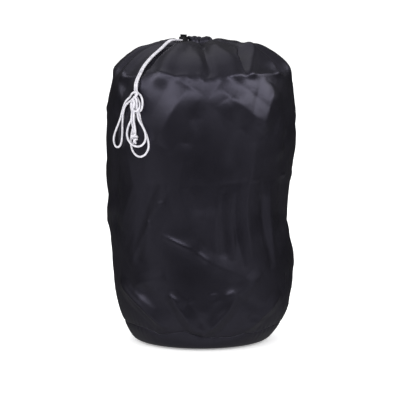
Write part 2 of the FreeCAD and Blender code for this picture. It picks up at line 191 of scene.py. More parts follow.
def grid_faces(rows: int, columns: int, closed: bool) -> list[tuple[int, int, int, int]]:
    """Faces of a grid whose vertices are numbered row by row.

    Args:
        rows: number of rows.
        columns: number of columns.
        closed: join the last column to the first.

    Returns:
        Corner indices of each face, facing away from the middle when columns turn to the right.
    """
    last = columns if closed else columns - 1
    return [(i * columns + j, i * columns + (j + 1) % columns, (i + 1) * columns + (j + 1) % columns,
             (i + 1) * columns + j) for i in range(rows - 1) for j in range(last)]


def smooth_curve(points: Sequence[Sequence[float]], steps: int) -> np.ndarray:
    """Smooth curve through points, at even parameter steps.

    Args:
        points: rows of coordinates, in order.
        steps: how many points to give back.

    Returns:
        Points of a cubic curve through all of them.
    """
    knots_at = np.array(points, float)
    gaps = np.linalg.norm(np.diff(knots_at, axis=0), axis=1) ** 0.5
    knots = np.concatenate([[0], np.cumsum(gaps)])
    slopes = np.gradient(knots_at, knots, axis=0)
    ts = np.linspace(0, knots[-1], steps)
    i = np.clip(np.searchsorted(knots, ts, side="right") - 1, 0, len(knots_at) - 2)
    span = (knots[i + 1] - knots[i])[:, None]
    u = (ts - knots[i])[:, None] / span
    return ((2 * u ** 3 - 3 * u ** 2 + 1) * knots_at[i] + (u ** 3 - 2 * u ** 2 + u) * span * slopes[i]
            + (-2 * u ** 3 + 3 * u ** 2) * knots_at[i + 1] + (u ** 3 - u ** 2) * span * slopes[i + 1])


def evenly(line: np.ndarray, step: float) -> np.ndarray:
    """Points along a line, a step apart.

    Args:
        line: rows of coordinates, in order.
        step: wanted length between points.

    Returns:
        Points along the line, its two ends included.
    """
    run = np.concatenate([[0], np.cumsum(np.linalg.norm(np.diff(line, axis=0), axis=1))])
    marks = np.linspace(0, run[-1], max(2, int(round(run[-1] / step)) + 1))
    return np.stack([np.interp(marks, run, line[:, k]) for k in range(line.shape[1])], axis=1)


def thicken(piece: bpy.types.Object) -> None:
    """Give a cloth piece its thickness, inwards."""
    solid = piece.modifiers.new("thickness", "SOLIDIFY")
    solid.thickness = CLOTH
    solid.offset = -1.0


def declare(piece: bpy.types.Object, slot: str, *nodes: str) -> None:
    """Let a piece of the bag's body stand for its CAD nodes.

    Args:
        piece: the finished piece.
        slot: not used.
        nodes: names of the nodes that it replaces.
    """
    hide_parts(*nodes)
    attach(piece, "bag")
    LOG.info("made %s for %s", piece.name, ", ".join(nodes))


# ---- finishes -----------------------------------------------------------------------------
@dataclass(frozen=True)
class CoatedNylon:
    """Black nylon taffeta with a coated back: a dark cloth whose flat threads give a broad satin glow."""

    body_hex: str = "0c0b0f"
    lift_hex: str = "131217"
    thread_mm: float = 0.9      # real threads lie 0.2 mm apart; drawn coarser so that the weave can show
    crinkle_mm: float = 26.0    # creases left by packing
    roughness: float = 0.36
    gloss_hex: str = "d9d5f2"       # the dye shows in the gloss, as a cool violet
    gloss: float = 1.0              # flat filaments shine about twice as much as plain plastic

    def build(self) -> bpy.types.Material:
        """Make the material."""
        material, tree, shader = new_material("coated_nylon")
        coords = add_node(tree, "TexCoord")
        place, flat = coords.outputs["Object"], coords.outputs["UV"]
        cloud = add_node(tree, "TexNoise", {"Vector": place, "Scale": 1 / (70 * MM), "Detail": 4.0})
        tint = add_node(tree, "Mix", {0: cloud.outputs[0], 6: linear(self.body_hex),
                                      7: linear(self.lift_hex)}, data_type="RGBA")
        rough = add_node(tree, "MapRange", {0: cloud.outputs[0], 1: 0.3, 2: 0.7, 3: self.roughness - 0.05,
                                            4: self.roughness + 0.06})
        wave = 2 * math.pi / 20 / (self.thread_mm * MM)
        weft = add_node(tree, "TexWave", {"Vector": flat, "Scale": wave}, bands_direction="Y")
        warp = add_node(tree, "TexWave", {"Vector": flat, "Scale": wave}, bands_direction="X")
        weave = add_node(tree, "Math", {0: weft.outputs[1], 1: warp.outputs[1]}, operation="ADD")
        crinkle = add_node(tree, "TexNoise", {"Vector": place, "Scale": 1 / (self.crinkle_mm * MM),
                                              "Detail": 4.0, "Roughness": 0.5})
        fine = add_node(tree, "Bump", {"Height": weave.outputs[0], "Strength": 0.06, "Distance": 0.1 * MM})
        broad = add_node(tree, "Bump", {"Height": crinkle.outputs[0], "Strength": 0.28, "Distance": 2.0 * MM,
                                        "Normal": fine.outputs[0]})
        tree.links.new(tint.outputs[2], shader.inputs["Base Color"])
        tree.links.new(rough.outputs[0], shader.inputs["Roughness"])
        tree.links.new(broad.outputs[0], shader.inputs["Normal"])
        shader.inputs["Specular Tint"].default_value = linear(self.gloss_hex)
        shader.inputs["Specular IOR Level"].default_value = self.gloss
        return material


@dataclass(frozen=True)
class BraidedCord:
    """White braided polyester: bright matt filaments, with grey shade painted between the braid's yarns."""

    yarn_hex: str = "d0ced4"
    # painted shade: this grey stands in for the shade between the braid's yarns
    hollow_shade_hex: str = "a3a1aa"
    filament_mm: float = 0.35

    def build(self) -> bpy.types.Material:
        """Make the material."""
        material, tree, shader = new_material("braided_cord")
        flat = add_node(tree, "TexCoord").outputs["UV"]
        yarn = add_node(tree, "TexNoise", {"Vector": flat, "Scale": 1 / (self.filament_mm * MM),
                                           "Detail": 2.0})
        patch = add_node(tree, "TexNoise", {"Vector": flat, "Scale": 1 / (9 * MM), "Detail": 1.0})
        shade = add_node(tree, "Math", {0: yarn.outputs[0], 1: patch.outputs[0]}, operation="MULTIPLY")
        range_ = add_node(tree, "MapRange", {0: shade.outputs[0], 1: 0.1, 2: 0.32})
        # painted shade: noise mixes the grey shade colour into the white yarn colour
        tint = add_node(tree, "Mix", {0: range_.outputs[0], 6: linear(self.hollow_shade_hex),
                                      7: linear(self.yarn_hex)}, data_type="RGBA")
        bump = add_node(tree, "Bump", {"Height": yarn.outputs[0], "Strength": 0.3, "Distance": 0.08 * MM})
        tree.links.new(tint.outputs[2], shader.inputs["Base Color"])
        tree.links.new(bump.outputs[0], shader.inputs["Normal"])
        shader.inputs["Roughness"].default_value = 0.62
        shader.inputs["Sheen Weight"].default_value = 0.2
        return material


@dataclass(frozen=True)
class GrainedFinish:
    """A moulded, enamelled, drawn or spun finish: one colour, with a fine grain in its gloss and height."""

    name: str
    hex_colour: str
    roughness: float
    metallic: float = 0.0
    grain_mm: float = 0.6
    grain: float = 0.12

    def build(self) -> bpy.types.Material:
        """Make the material."""
        material, tree, shader = new_material(self.name)
        place = add_node(tree, "TexCoord").outputs["Object"]
        grain = add_node(tree, "TexNoise", {"Vector": place, "Scale": 1 / (self.grain_mm * MM),
                                            "Detail": 2.0})
        rough = add_node(tree, "MapRange", {0: grain.outputs[0], 3: self.roughness - 0.07,
                                            4: self.roughness + 0.07})
        bump = add_node(tree, "Bump", {"Height": grain.outputs[0], "Strength": self.grain,
                                       "Distance": 0.05 * MM})
        tree.links.new(rough.outputs[0], shader.inputs["Roughness"])
        tree.links.new(bump.outputs[0], shader.inputs["Normal"])
        shader.inputs["Base Color"].default_value = linear(self.hex_colour)
        shader.inputs["Metallic"].default_value = self.metallic
        return material


@dataclass(frozen=True)
class Finishes:
    """Every material of the bag, made once."""

    nylon: bpy.types.Material
    thread: bpy.types.Material
    cord: bpy.types.Material
    enamel: bpy.types.Material
    plastic: bpy.types.Material
    plunger: bpy.types.Material
    steel: bpy.types.Material

    @classmethod
    def build(cls) -> "Finishes":
        """Make them all."""
        return cls(
            nylon=CoatedNylon().build(),
            # spun polyester thread: matt, a shade lighter than the cloth, so that each stitch shows
            thread=GrainedFinish("spun_thread", "2a2a30", 0.6, grain_mm=0.3, grain=0.4).build(),
            cord=BraidedCord().build(),
            # brass under black enamel: smooth and shiny, with hardly any grain
            enamel=GrainedFinish("black_enamel", "101013", 0.28, grain_mm=1.5, grain=0.05).build(),
            # injection-moulded polypropylene: black, with a spark-eroded satin grain
            plastic=GrainedFinish("moulded_polypropylene", "131316", 0.38).build(),
            plunger=GrainedFinish("polished_polypropylene", "0e0e11", 0.26).build(),
            # drawn spring wire: bright, with faint marks of the die
            steel=GrainedFinish("spring_wire", "b9bbc0", 0.3, metallic=1.0, grain_mm=0.2).build(),
        )


# ---- cord ---------------------------------------------------------------------------------
def bearing_vector(degrees: float) -> np.ndarray:
    """Level unit vector at a bearing, counted from +X towards +Y."""
    return np.array([math.cos(math.radians(degrees)), math.sin(math.radians(degrees)), 0.0])


@dataclass
class Drawcord:
    """Both free lengths of the white cord: out of the eyelet, through the lock, over the shoulder, and
    into one knot, from which three loops and the two knotted ends hang."""

    diameter: float = 4.0 * MM
    spacing: float = 4.2 * MM       # between the strands where they run side by side
    exit_climb: float = 4.0
    exit_out: float = 0.029         # from the mouth's axis to where the free cord begins
    taut_length: float = 0.0414
    lock_lead: float = 0.030        # straight stretch through the lock
    knot_bearing: float = 229.5
    knot_radius: float = 0.201
    knot_height: float = 0.498
    sides: int = 24
    ring_gap: float = 0.6 * MM
    carriers: int = 4               # yarns each way round; a real braid's eight would be too fine to show
    braid_pitch: float = 13.0 * MM
    braid_relief: float = 0.05
    left_length: float = 0.72
    right_length: float = 0.886
    path_gap: float = 2.4 * MM      # between the points of the declared path
    tip_taper: tuple[float, float] = (0.55, 0.85)   # of a sealed tip's last two rings
    strand_route: tuple[Point, ...] = (
        (221.3, 0.0876, 0.6116), (222.0, 0.1071, 0.5980), (223.0, 0.1310, 0.5850), (225.3, 0.1595, 0.5675),
        (227.5, 0.1795, 0.5495), (229.0, 0.1925, 0.5385))
    knot_entry: tuple[float, ...] = (33.0, 21.0)
    knot_entry_out: float = -4.2
    # The rest is (outwards, across, up) from the knot's middle, in millimetres.
    left_turns: tuple[Point, ...] = (
        (-2.0, 1.0, 14.0), (0.0, 8.0, 8.0), (3.0, 16.5, 0.0), (4.5, 18.5, -9.5), (5.5, 11.0, -18.0),
        (6.5, 3.0, -16.0), (7.5, 0.0, -7.0), (8.0, 2.5, 3.0), (7.5, 9.0, 11.0), (6.0, 13.5, 17.0),
        (4.5, 7.5, 21.0), (3.0, -1.5, 18.5), (1.0, -8.0, 13.5))
    loop_left: tuple[Point, ...] = (
        (-2.0, -13.0, 8.5), (-4.5, -22.5, 4.5), (-8.0, -33.5, -5.0), (-10.5, -41.5, -20.0),
        (-13.5, -51.0, -40.0), (-17.0, -66.5, -62.0), (-19.0, -74.5, -80.0), (-16.5, -65.5, -95.0),
        (-12.5, -48.5, -91.0), (-9.5, -41.0, -72.0), (-9.0, -40.0, -48.0), (-8.5, -38.5, -26.0),
        (-6.5, -30.5, -9.0), (-4.0, -19.5, -1.5), (-2.0, -10.0, 2.5))
    left_through: tuple[Point, ...] = (
        (2.0, -3.5, 6.0), (7.5, 3.5, 7.0), (10.0, 9.0, 2.5), (10.0, 8.5, -6.0), (8.0, 3.5, -11.5),
        (5.5, -2.0, -14.5))
    end_left: tuple[Point, ...] = (
        (4.2, -2.5, -21.0), (5.0, -3.5, -32.0), (3.0, -3.0, -43.0), (1.0, -1.7, -52.5), (0.5, -1.7, -60.5))
    left_tail: tuple[Point, ...] = (
        (-2.5, -5.0, -63.5), (-4.5, 0.5, -66.0), (-2.5, 6.0, -68.5), (2.8, 6.3, -67.0), (4.8, 1.0, -64.5),
        (3.4, -5.5, -67.5), (-1.0, -6.0, -72.0), (-4.0, -1.0, -74.0), (0.0, -2.0, -77.5), (0.0, -2.7, -82.5))
    right_turns: tuple[Point, ...] = (
        (-3.0, 8.0, 17.0), (0.0, 17.0, 14.0), (2.5, 23.0, 7.0), (3.0, 24.5, -3.0), (2.0, 21.0, -13.0),
        (-1.0, 13.0, -18.0), (-3.0, 4.0, -15.0), (-2.0, -2.0, -8.0), (1.0, -3.5, 1.0), (4.0, 1.0, 9.0),
        (6.5, 7.0, 12.0), (8.5, 12.5, 7.5), (9.0, 14.5, -2.0), (7.0, 13.0, -11.0), (1.0, 11.0, -17.5))
    loop_outer: tuple[Point, ...] = (
        (-4.0, 9.5, -23.0), (-5.0, 11.0, -36.0), (-5.5, 20.0, -52.0), (-6.0, 30.0, -70.0),
        (-7.5, 31.5, -89.0), (-7.0, 21.0, -104.5), (-6.0, 5.0, -109.0), (-5.5, -9.0, -100.0),
        (-5.0, -15.0, -83.0), (-4.5, -11.5, -61.0), (-4.5, -4.5, -41.0), (-4.0, -3.0, -21.0))
    outer_to_inner: tuple[Point, ...] = (
        (-3.5, -3.0, -13.0), (-1.0, -3.0, -4.0), (2.5, -6.0, -0.5), (1.5, -8.0, -9.0))
    loop_inner: tuple[Point, ...] = (
        (-1.0, -6.0, -21.0), (-0.5, -9.0, -36.0), (-0.5, -18.0, -50.0), (0.0, -21.0, -68.0),
        (0.5, -11.5, -82.0), (1.0, 4.0, -87.5), (0.5, 19.0, -85.5), (0.0, 30.0, -74.0),
        (-0.5, 28.5, -57.0), (0.0, 18.5, -43.0), (0.0, 10.0, -33.0), (-0.5, 7.0, -21.0))
    inner_to_end: tuple[Point, ...] = (
        (0.5, 7.5, -12.0), (4.0, 8.5, -3.0), (7.0, 4.5, -1.0), (6.0, 2.0, -10.0))
    end_right: tuple[Point, ...] = (
        (4.2, 2.2, -21.0), (5.5, 2.0, -32.0), (3.5, 2.6, -42.5), (1.0, 2.7, -52.5), (0.5, 2.7, -60.5))
    right_tail: tuple[Point, ...] = (
        (3.4, 5.8, -62.5), (5.0, 0.5, -68.0), (1.5, -5.3, -65.5), (-4.0, -3.8, -69.5), (-4.5, 3.0, -72.5),
        (0.8, 6.8, -72.5), (4.6, 2.0, -74.5), (1.0, 3.0, -78.0), (0.0, 3.7, -82.5))

    def exit_point(self, side: float) -> np.ndarray:
        """Where a strand leaves the eyelet.

        Args:
            side: -1 for the left strand, 1 for the right.

        Returns:
            The point, in metres.
        """
        out = bearing_vector(EXIT_BEARING)
        across = np.cross([0, 0, 1], out)
        return (np.array(MOUTH) + [0, 0, EXIT_HEIGHT] + out * self.exit_out
                + across * side * self.spacing / 2)

    def knot_points(self, points: Sequence[Point]) -> list[np.ndarray]:
        """Bring points from the knot's own frame into the bag's.

        Args:
            points: (outwards, across, up) in millimetres.

        Returns:
            The points in metres.
        """
        out = bearing_vector(self.knot_bearing)
        across = np.cross([0, 0, 1], out)
        middle = out * self.knot_radius + np.array([0, 0, self.knot_height])
        return [middle + (out * a + across * b + np.array([0, 0, c])) * MM for a, b, c in points]

    def route(self, side: float) -> list[np.ndarray]:
        """Listed points of one whole strand, from its eyelet to its sealed tip.

        Args:
            side: -1 for the left strand, 1 for the right.

        Returns:
            Points in metres.
        """
        start, climb = self.exit_point(side), math.radians(self.exit_climb)
        along = bearing_vector(EXIT_BEARING) * math.cos(climb) + np.array([0, 0, math.sin(climb)])
        points = [start, start + along * self.lock_lead, start + along * self.taut_length]
        for bearing, radius, height in self.strand_route:
            out = bearing_vector(bearing)
            points.append(out * radius + [0, 0, height] + np.cross([0, 0, 1], out) * side * self.spacing / 2)
        entry = [(self.knot_entry_out, side * self.spacing / 2 / MM, up) for up in self.knot_entry]
        if side < 0:
            rest = [*self.left_turns, *self.loop_left, *self.left_through, *self.end_left, *self.left_tail]
        else:
            rest = [*self.right_turns, *self.loop_outer, *self.outer_to_inner, *self.loop_inner,
                    *self.inner_to_end, *self.end_right, *self.right_tail]
        return points + self.knot_points([*entry, *rest])

    def centreline(self, side: float) -> np.ndarray:
        """The strand's smooth line, read from one open NURBS spline through its listed route.

        Args:
            side: -1 for the left strand, 1 for the right.

        Returns:
            Evenly spaced points, one for each ring of the braid.
        """
        curve = bpy.data.curves.new("route", "CURVE")
        curve.dimensions = "3D"
        curve.resolution_u = 24
        spline = curve.splines.new("NURBS")
        points = self.route(side)
        spline.points.add(len(points) - 1)
        for control, place in zip(spline.points, points):
            control.co = (*place, 1.0)
        spline.order_u = 3
        spline.use_endpoint_u = True
        holder = bpy.data.objects.new("route", curve)
        bpy.context.scene.collection.objects.link(holder)
        line = np.array([v.co for v in bpy.data.meshes.new_from_object(holder).vertices])
        bpy.data.objects.remove(holder)
        return evenly(line, self.ring_gap)

    def braid(self, name: str, line: np.ndarray, material: bpy.types.Material) -> bpy.types.Object:
        """Sweep a braided section along a line.

        Args:
            name: the piece's name.
            line: evenly spaced points.
            material: the cord's finish.

        Returns:
            The tube, closed at its ends.
        """
        along = np.gradient(line, axis=0)
        along /= np.linalg.norm(along, axis=1)[:, None]
        side = np.cross(along[0], [0, 0, 1.0])
        sides = []
        for step in along:
            side = side - step * (side @ step)
            side = side / np.linalg.norm(side)
            sides.append(side)
        sides = np.array(sides)
        up = np.cross(along, sides)
        turn = np.linspace(0, 2 * math.pi, self.sides, endpoint=False)
        run = np.arange(len(line)) * self.ring_gap
        wind = (2 * math.pi * self.carriers / self.braid_pitch) * run[:, None]
        over = np.maximum(np.cos(self.carriers * turn + wind), np.cos(self.carriers * turn - wind))
        radius = self.diameter / 2 * (1 + self.braid_relief * (over - 0.5))
        taper = np.ones(len(line))
        taper[0] = taper[-1] = self.tip_taper[0]
        taper[1] = taper[-2] = self.tip_taper[1]
        radius = radius * taper[:, None]
        rings = (line[:, None, :] + sides[:, None, :] * (radius * np.cos(turn))[..., None]
                 + up[:, None, :] * (radius * np.sin(turn))[..., None])
        vertices = rings.reshape(-1, 3)
        faces: list = grid_faces(len(line), self.sides, True)
        faces.append(tuple(reversed(range(self.sides))))
        faces.append(tuple(range(len(vertices) - self.sides, len(vertices))))
        uv = np.stack([np.tile(turn * self.diameter / 2, len(line)), np.repeat(run, self.sides)], axis=1)
        return add_mesh(name, vertices, faces, material, uv)

    def build(self, finishes: Finishes) -> list[np.ndarray]:
        """Args:
            finishes: the bag's materials.

        Returns:
            The left and the right centreline.
        """
        left, right = self.centreline(-1), self.centreline(1)
        strand = self.braid("drawcord_left", left, finishes.cord)
        declare(strand, "cord", "cord_strand_left", "cord_loop_left", "cord_end_left", "cord_tip_left",
                "cord_main_knot")
        other = self.braid("drawcord_right", right, finishes.cord)
        declare(other, "cord", "cord_strand_right", "cord_loop_outer", "cord_loop_inner", "cord_end_right",
                "cord_tip_right", "cord_end_knot")
        return [left, right]


# ---- lock ---------------------------------------------------------------------------------
@dataclass(frozen=True)
class LockBerth:
    """Hollow in the gathers under the cord lock, as far out as the lock slides."""

    floor: float = 0.6000           # clear of the lock's underside by about 1.5 mm
    start: float = 30.5 * MM        # from the mouth's axis
    half_width: float = 11.5 * MM
    bank: float = 1.2               # slope of the hollow's sides
    end_bank: float = 8.0           # slope of its end, by the mouth

    def sunk(self, points: np.ndarray) -> np.ndarray:
        """Lower the points that would lie in the lock's path.

        Args:
            points: the cloth, with a last axis of length 3.

        Returns:
            The points, lowered where the lock needs room.
        """
        axis = bearing_vector(EXIT_BEARING)
        gap = points - np.array(MOUTH)
        out, side = gap @ axis, np.abs(gap @ np.cross([0, 0, 1], axis))
        top = self.floor + self.bank * np.maximum(side - self.half_width, 0)
        top = top + self.end_bank * np.maximum(self.start - out, 0)
        lower = np.array(points)
        lower[..., 2] = np.where(out > 0, np.minimum(points[..., 2], top), points[..., 2])
        return lower


def squash_spring(spring: bpy.types.Object) -> None:
    """Give the lock's spring a mesh of its own; it is not shortened here.

    Args:
        spring: the spring's piece.
    """
    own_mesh(spring)


# ---- skin ---------------------------------------------------------------------------------
class FoldKind(Enum):
    """How the cloth bends across a fold."""

    SOFT = "round swell or hollow"
    CRISP = "sharp crease that dies away on both sides"
    FACET = "two flat slopes that meet in a ridge"
    LAP = "cloth that lies over itself: a high edge with a recess to its right"


@dataclass(frozen=True)
class Fold:
    """One fold of the skin, along (turn in degrees, height in millimetres); lift is negative in a valley."""

    path: tuple[tuple[float, float], ...]
    lift_mm: float
    width_mm: float
    kind: FoldKind = FoldKind.SOFT


@dataclass
class Skin:
    """The bag's cloth, from the middle of its bottom up to the casing."""

    columns: int = 432
    row_gap: float = 3.05 * MM
    seam_radius: float = 0.163
    ridge_height: float = 0.543
    allowance: float = 9.0 * MM
    sim_columns: int = 176
    sim_frames: int = 22
    spare_cloth: float = 0.002
    push: float = 0.3
    gravity_share: float = 0.0
    most_moved: float = 2.5 * MM
    kept_swell: float = 0.15        # share of the simulation's broad swelling that is kept
    panel_flat: tuple[float, float] = (0.61, 0.74)
    bottom_flat: tuple[float, float] = (0.37, 0.37)
    bottom_area: float = 0.1075     # a round disc of that width
    middle_radius: float = 0.18     # turns a fold's degrees into lengths
    coarse_radius: float = 0.185    # turns the simulated grid's columns into lengths
    side_groove: float = 3.4 * MM
    side_groove_width: float = 3.2 * MM
    side_pucker: float = 0.4 * MM
    side_pucker_width: float = 9 * MM
    bottom_groove: float = 2.0 * MM
    bottom_groove_width: float = 4.0 * MM
    bottom_pucker: float = 0.8 * MM
    bottom_pucker_width: float = 12 * MM
    cord_clearance: float = 0.9 * MM
    cord_bank: float = 0.9          # slope of the cloth beside a cord that lies on it
    cord_reach: float = 16 * MM
    hem_steps: tuple[float, ...] = (1.0, 0.62, 0.28)    # rows of a turned-in edge, as shares of it
    outline: tuple[tuple[float, float], ...] = (
        (0.012, 0.0012), (0.060, 0.0008), (0.100, 0.0006), (0.122, 0.0010), (0.138, 0.0065), (0.151, 0.0220),
        (0.1630, 0.0430), (0.1712, 0.0620), (0.1770, 0.0800), (0.1812, 0.1050), (0.1842, 0.1420),
        (0.1846, 0.1900), (0.1830, 0.2400), (0.1826, 0.2750), (0.1850, 0.3200), (0.1892, 0.3640),
        (0.1928, 0.4130), (0.1932, 0.4380), (0.1914, 0.4650), (0.1878, 0.4960), (0.1832, 0.5180),
        (0.1774, 0.5390), (0.1722, 0.5490), (0.1590, 0.5625), (0.1435, 0.5755), (0.1230, 0.5880),
        (0.0940, 0.5990), (0.0640, 0.6045), (0.0450, 0.6060), (0.0340, 0.6065))
    # The full bag leans a little; (height, shift to the right).
    lean: tuple[tuple[float, float], ...] = (
        (0.0, 0.0), (0.040, 0.004), (0.080, 0.006), (0.180, 0.003), (0.240, -0.004), (0.270, -0.006),
        (0.330, -0.004), (0.385, -0.001), (0.425, 0.0), (0.540, 0.0))
    folds: list[Fold] = field(default_factory=list)

    def __post_init__(self) -> None:
        """Work out the outline's stations and how height, girth and run go together."""
        dense = smooth_curve(self.outline, 900)
        run = np.concatenate([[0], np.cumsum(np.linalg.norm(np.diff(dense, axis=0), axis=1))])
        self._dense, self._run = dense, run
        side = dense[:, 0] > self.seam_radius
        start = int(np.argmax(side))
        self.seam_run = float(run[start])
        self.ridge_run = float(run[start + int(np.argmax(dense[start:, 1] > self.ridge_height))])
        self.neck_run = float(run[-1])

    def run_at(self, height: float) -> float:
        """Run at a height, on the side or the dome.

        Args:
            height: metres above the floor.

        Returns:
            The run, in metres.
        """
        lowest = int(np.argmax(self._dense[:, 1] > 0.004))
        return float(np.interp(height, self._dense[lowest:, 1], self._run[lowest:]))

    def surface(self, turn: np.ndarray, run: np.ndarray) -> tuple[np.ndarray, np.ndarray]:
        """Plain shape of the bag, with no folds.

        Args:
            turn: turns in degrees.
            run: runs in metres, of the same shape.

        Returns:
            Points and outward normals, with one more axis of length 3.
        """
        radius = np.interp(run, self._run, self._dense[:, 0])
        height = np.interp(run, self._run, self._dense[:, 1])
        slope = np.gradient(self._dense, self._run, axis=0)
        slope /= np.linalg.norm(slope, axis=1)[:, None]
        dr, dz = np.interp(run, self._run, slope[:, 0]), np.interp(run, self._run, slope[:, 1])
        lean_at, lean_by = zip(*self.lean)
        shift = np.interp(height, lean_at, lean_by)
        shift = shift + MOUTH[0] * ease(run, self.ridge_run, self.neck_run)
        sine, cosine = np.sin(np.radians(turn)), np.cos(np.radians(turn))
        points = np.stack([shift + radius * sine, -radius * cosine, height], axis=-1)
        normals = np.stack([dz * sine, -dz * cosine, -dr], axis=-1)
        return points, normals / np.linalg.norm(normals, axis=-1, keepdims=True)

    def fold_lift(self, fold: Fold, turn: np.ndarray, run: np.ndarray, girth: np.ndarray) -> np.ndarray:
        """Lift that one fold gives every place.

        Args:
            fold: the fold.
            turn: turns in degrees.
            run: runs in metres.
            girth: the bag's radius at each run.

        Returns:
            Lifts in metres, negative in a hollow.
        """
        nearest, beside = np.full(turn.shape, np.inf), np.zeros(turn.shape)
        along, done = np.zeros(turn.shape), 0.0
        for (turn_a, up_a), (turn_b, up_b) in zip(fold.path, fold.path[1:]):
            px, py = np.radians(wrapped(turn - turn_a)) * girth, run - self.run_at(up_a * MM)
            dx = math.radians(wrapped(turn_b - turn_a)) * girth
            dy = self.run_at(up_b * MM) - self.run_at(up_a * MM)
            length = math.hypot(math.radians(wrapped(turn_b - turn_a)) * self.middle_radius, dy)
            t = np.clip((px * dx + py * dy) / (dx * dx + dy * dy + 1e-12), 0, 1)
            gap = np.hypot(px - t * dx, py - t * dy)
            closer = gap < nearest
            beside = np.where(closer, np.sign(px * dy - py * dx), beside)
            along = np.where(closer, done + t * length, along)
            nearest = np.minimum(nearest, gap)
            done += length
        x = nearest / (fold.width_mm * MM)
        fade = np.sin(math.pi * np.clip(along / done, 0, 1)) ** 0.7
        if fold.kind is FoldKind.SOFT:
            shape = np.exp(-2.0 * x * x)
        elif fold.kind is FoldKind.CRISP:
            shape = np.exp(-2.4 * (np.sqrt(x * x + 0.05) - 0.22)) * fade
        elif fold.kind is FoldKind.FACET:
            shape = np.clip(1.05 - np.sqrt(x * x + 0.0025), 0, 1) ** 1.2 * fade
        else:
            high, low = np.exp(-1.2 * x), -1.0 * np.exp(-1.5 * x)
            shape = (low + (high - low) * ease(-beside * nearest, -1.5 * MM, 1.5 * MM)) * fade
        return fold.lift_mm * MM * shape

    def relief(self, turn: np.ndarray, run: np.ndarray, crisp: bool) -> np.ndarray:
        """Lift of every place by the soft folds, or by the crisp ones.

        Args:
            turn: turns in degrees.
            run: runs in metres.
            crisp: whether the crisp folds are wanted.

        Returns:
            Lifts in metres.
        """
        girth = np.interp(run, self._run, self._dense[:, 0])
        total = np.zeros(turn.shape)
        for fold in self.folds:
            if (fold.kind is FoldKind.CRISP) == crisp:
                total += self.fold_lift(fold, turn, run, girth)
        return total

    def grid(self, columns: int, gap: float) -> tuple[np.ndarray, np.ndarray]:
        """Turns and runs of an even grid over the whole skin.

        Args:
            columns: places round the bag.
            gap: length between rows.

        Returns:
            Turns in degrees and runs in metres.
        """
        rows = int(self.neck_run / gap) + 1
        turns = np.linspace(-180, 180, columns, endpoint=False)
        turn, run = np.meshgrid(turns, np.linspace(0, self.neck_run, rows))
        return turn, run

    def seam_shift(self, turn: np.ndarray, run: np.ndarray) -> np.ndarray:
        """How far the bottom seam wanders along the outline, dying away above and below it.

        Args:
            turn: turns in degrees.
            run: runs in metres.

        Returns:
            Lengths in metres along the outline.
        """
        at, by = zip(*SEAM_WANDER)
        bell = np.exp(-((run - self.seam_run) / (34 * MM)) ** 2)
        return np.interp(turn, at, by) * MM * bell

    def pleats(self, turn: np.ndarray, run: np.ndarray) -> np.ndarray:
        """Puffs of cloth that bulge up round the casing and die away down the dome.

        Args:
            turn: turns in degrees.
            run: runs in metres.

        Returns:
            Lifts in metres.
        """
        rise = ease(run, self.neck_run - 72 * MM, self.neck_run - 17 * MM)
        tuck = 1 - 0.7 * ease(run, self.neck_run - 15 * MM, self.neck_run)
        return GATHERS.puffs(turn) * GATHERS.puff_lift * rise * tuck

    def draped(self, turn: np.ndarray, run: np.ndarray) -> np.ndarray:
        """The bag with its broad folds, before the cloth is simulated.

        Args:
            turn: turns in degrees.
            run: runs in metres.

        Returns:
            Points, with one more axis of length 3.
        """
        shifted = run + self.seam_shift(turn, run)
        points, normals = self.surface(turn, shifted)
        lift = self.relief(turn, shifted, False) + self.pleats(turn, run)
        lift = lift * ease(run, self.seam_run - 60 * MM, self.seam_run - 20 * MM)
        return points + normals * lift[..., None]

    def simulate(self, start: np.ndarray) -> np.ndarray:
        """Let the cloth settle, so that its spare width buckles into small natural folds.

        Args:
            start: rows by columns by 3, the cloth before it settles.

        Returns:
            How far every place moved.
        """
        rows, columns = start.shape[:2]
        obj = add_mesh("settling_cloth", start.reshape(-1, 3), grid_faces(rows, columns, True))
        row_of = np.repeat(np.arange(rows), columns)
        run_of = row_of / (rows - 1) * self.neck_run
        held = np.maximum(ease(run_of, self.neck_run - 34 * MM, self.neck_run - 8 * MM),
                          1 - ease(run_of, self.seam_run - 10 * MM, self.seam_run + 280 * MM))
        group = obj.vertex_groups.new(name="held")
        for index in np.nonzero(held > 0.01)[0]:
            group.add([int(index)], float(held[index]), "REPLACE")
        cloth = obj.modifiers.new("Cloth", "CLOTH")
        settings = cloth.settings
        settings.quality = 5
        settings.mass = 0.25
        settings.tension_stiffness = settings.compression_stiffness = 14
        settings.shear_stiffness = 4
        settings.bending_stiffness = 0.35
        settings.tension_damping = settings.compression_damping = 8
        settings.air_damping = 4
        settings.vertex_group_mass = "held"
        settings.pin_stiffness = 2
        settings.shrink_min = -self.spare_cloth
        settings.use_pressure = True
        settings.uniform_pressure_force = self.push
        settings.effector_weights.gravity = self.gravity_share
        cloth.collision_settings.use_collision = False
        cloth.point_cache.frame_start = 1
        cloth.point_cache.frame_end = self.sim_frames
        scene = bpy.context.scene
        for frame in range(1, self.sim_frames + 1):
            scene.frame_set(frame)
        settled = obj.evaluated_get(bpy.context.evaluated_depsgraph_get())
        ends = np.zeros(rows * columns * 3)
        settled.data.vertices.foreach_get("co", ends)
        bpy.data.objects.remove(obj)
        scene.frame_set(1)
        moved = ends.reshape(start.shape) - start
        moved -= (1 - self.kept_swell) * self.blurred(moved, 16)
        far = np.linalg.norm(moved, axis=-1, keepdims=True)
        LOG.info("cloth moved %.1f mm at most, %.1f mm on average", far.max() / MM, far.mean() / MM)
        return moved * np.minimum(1.0, self.most_moved / np.maximum(far, 1e-9))

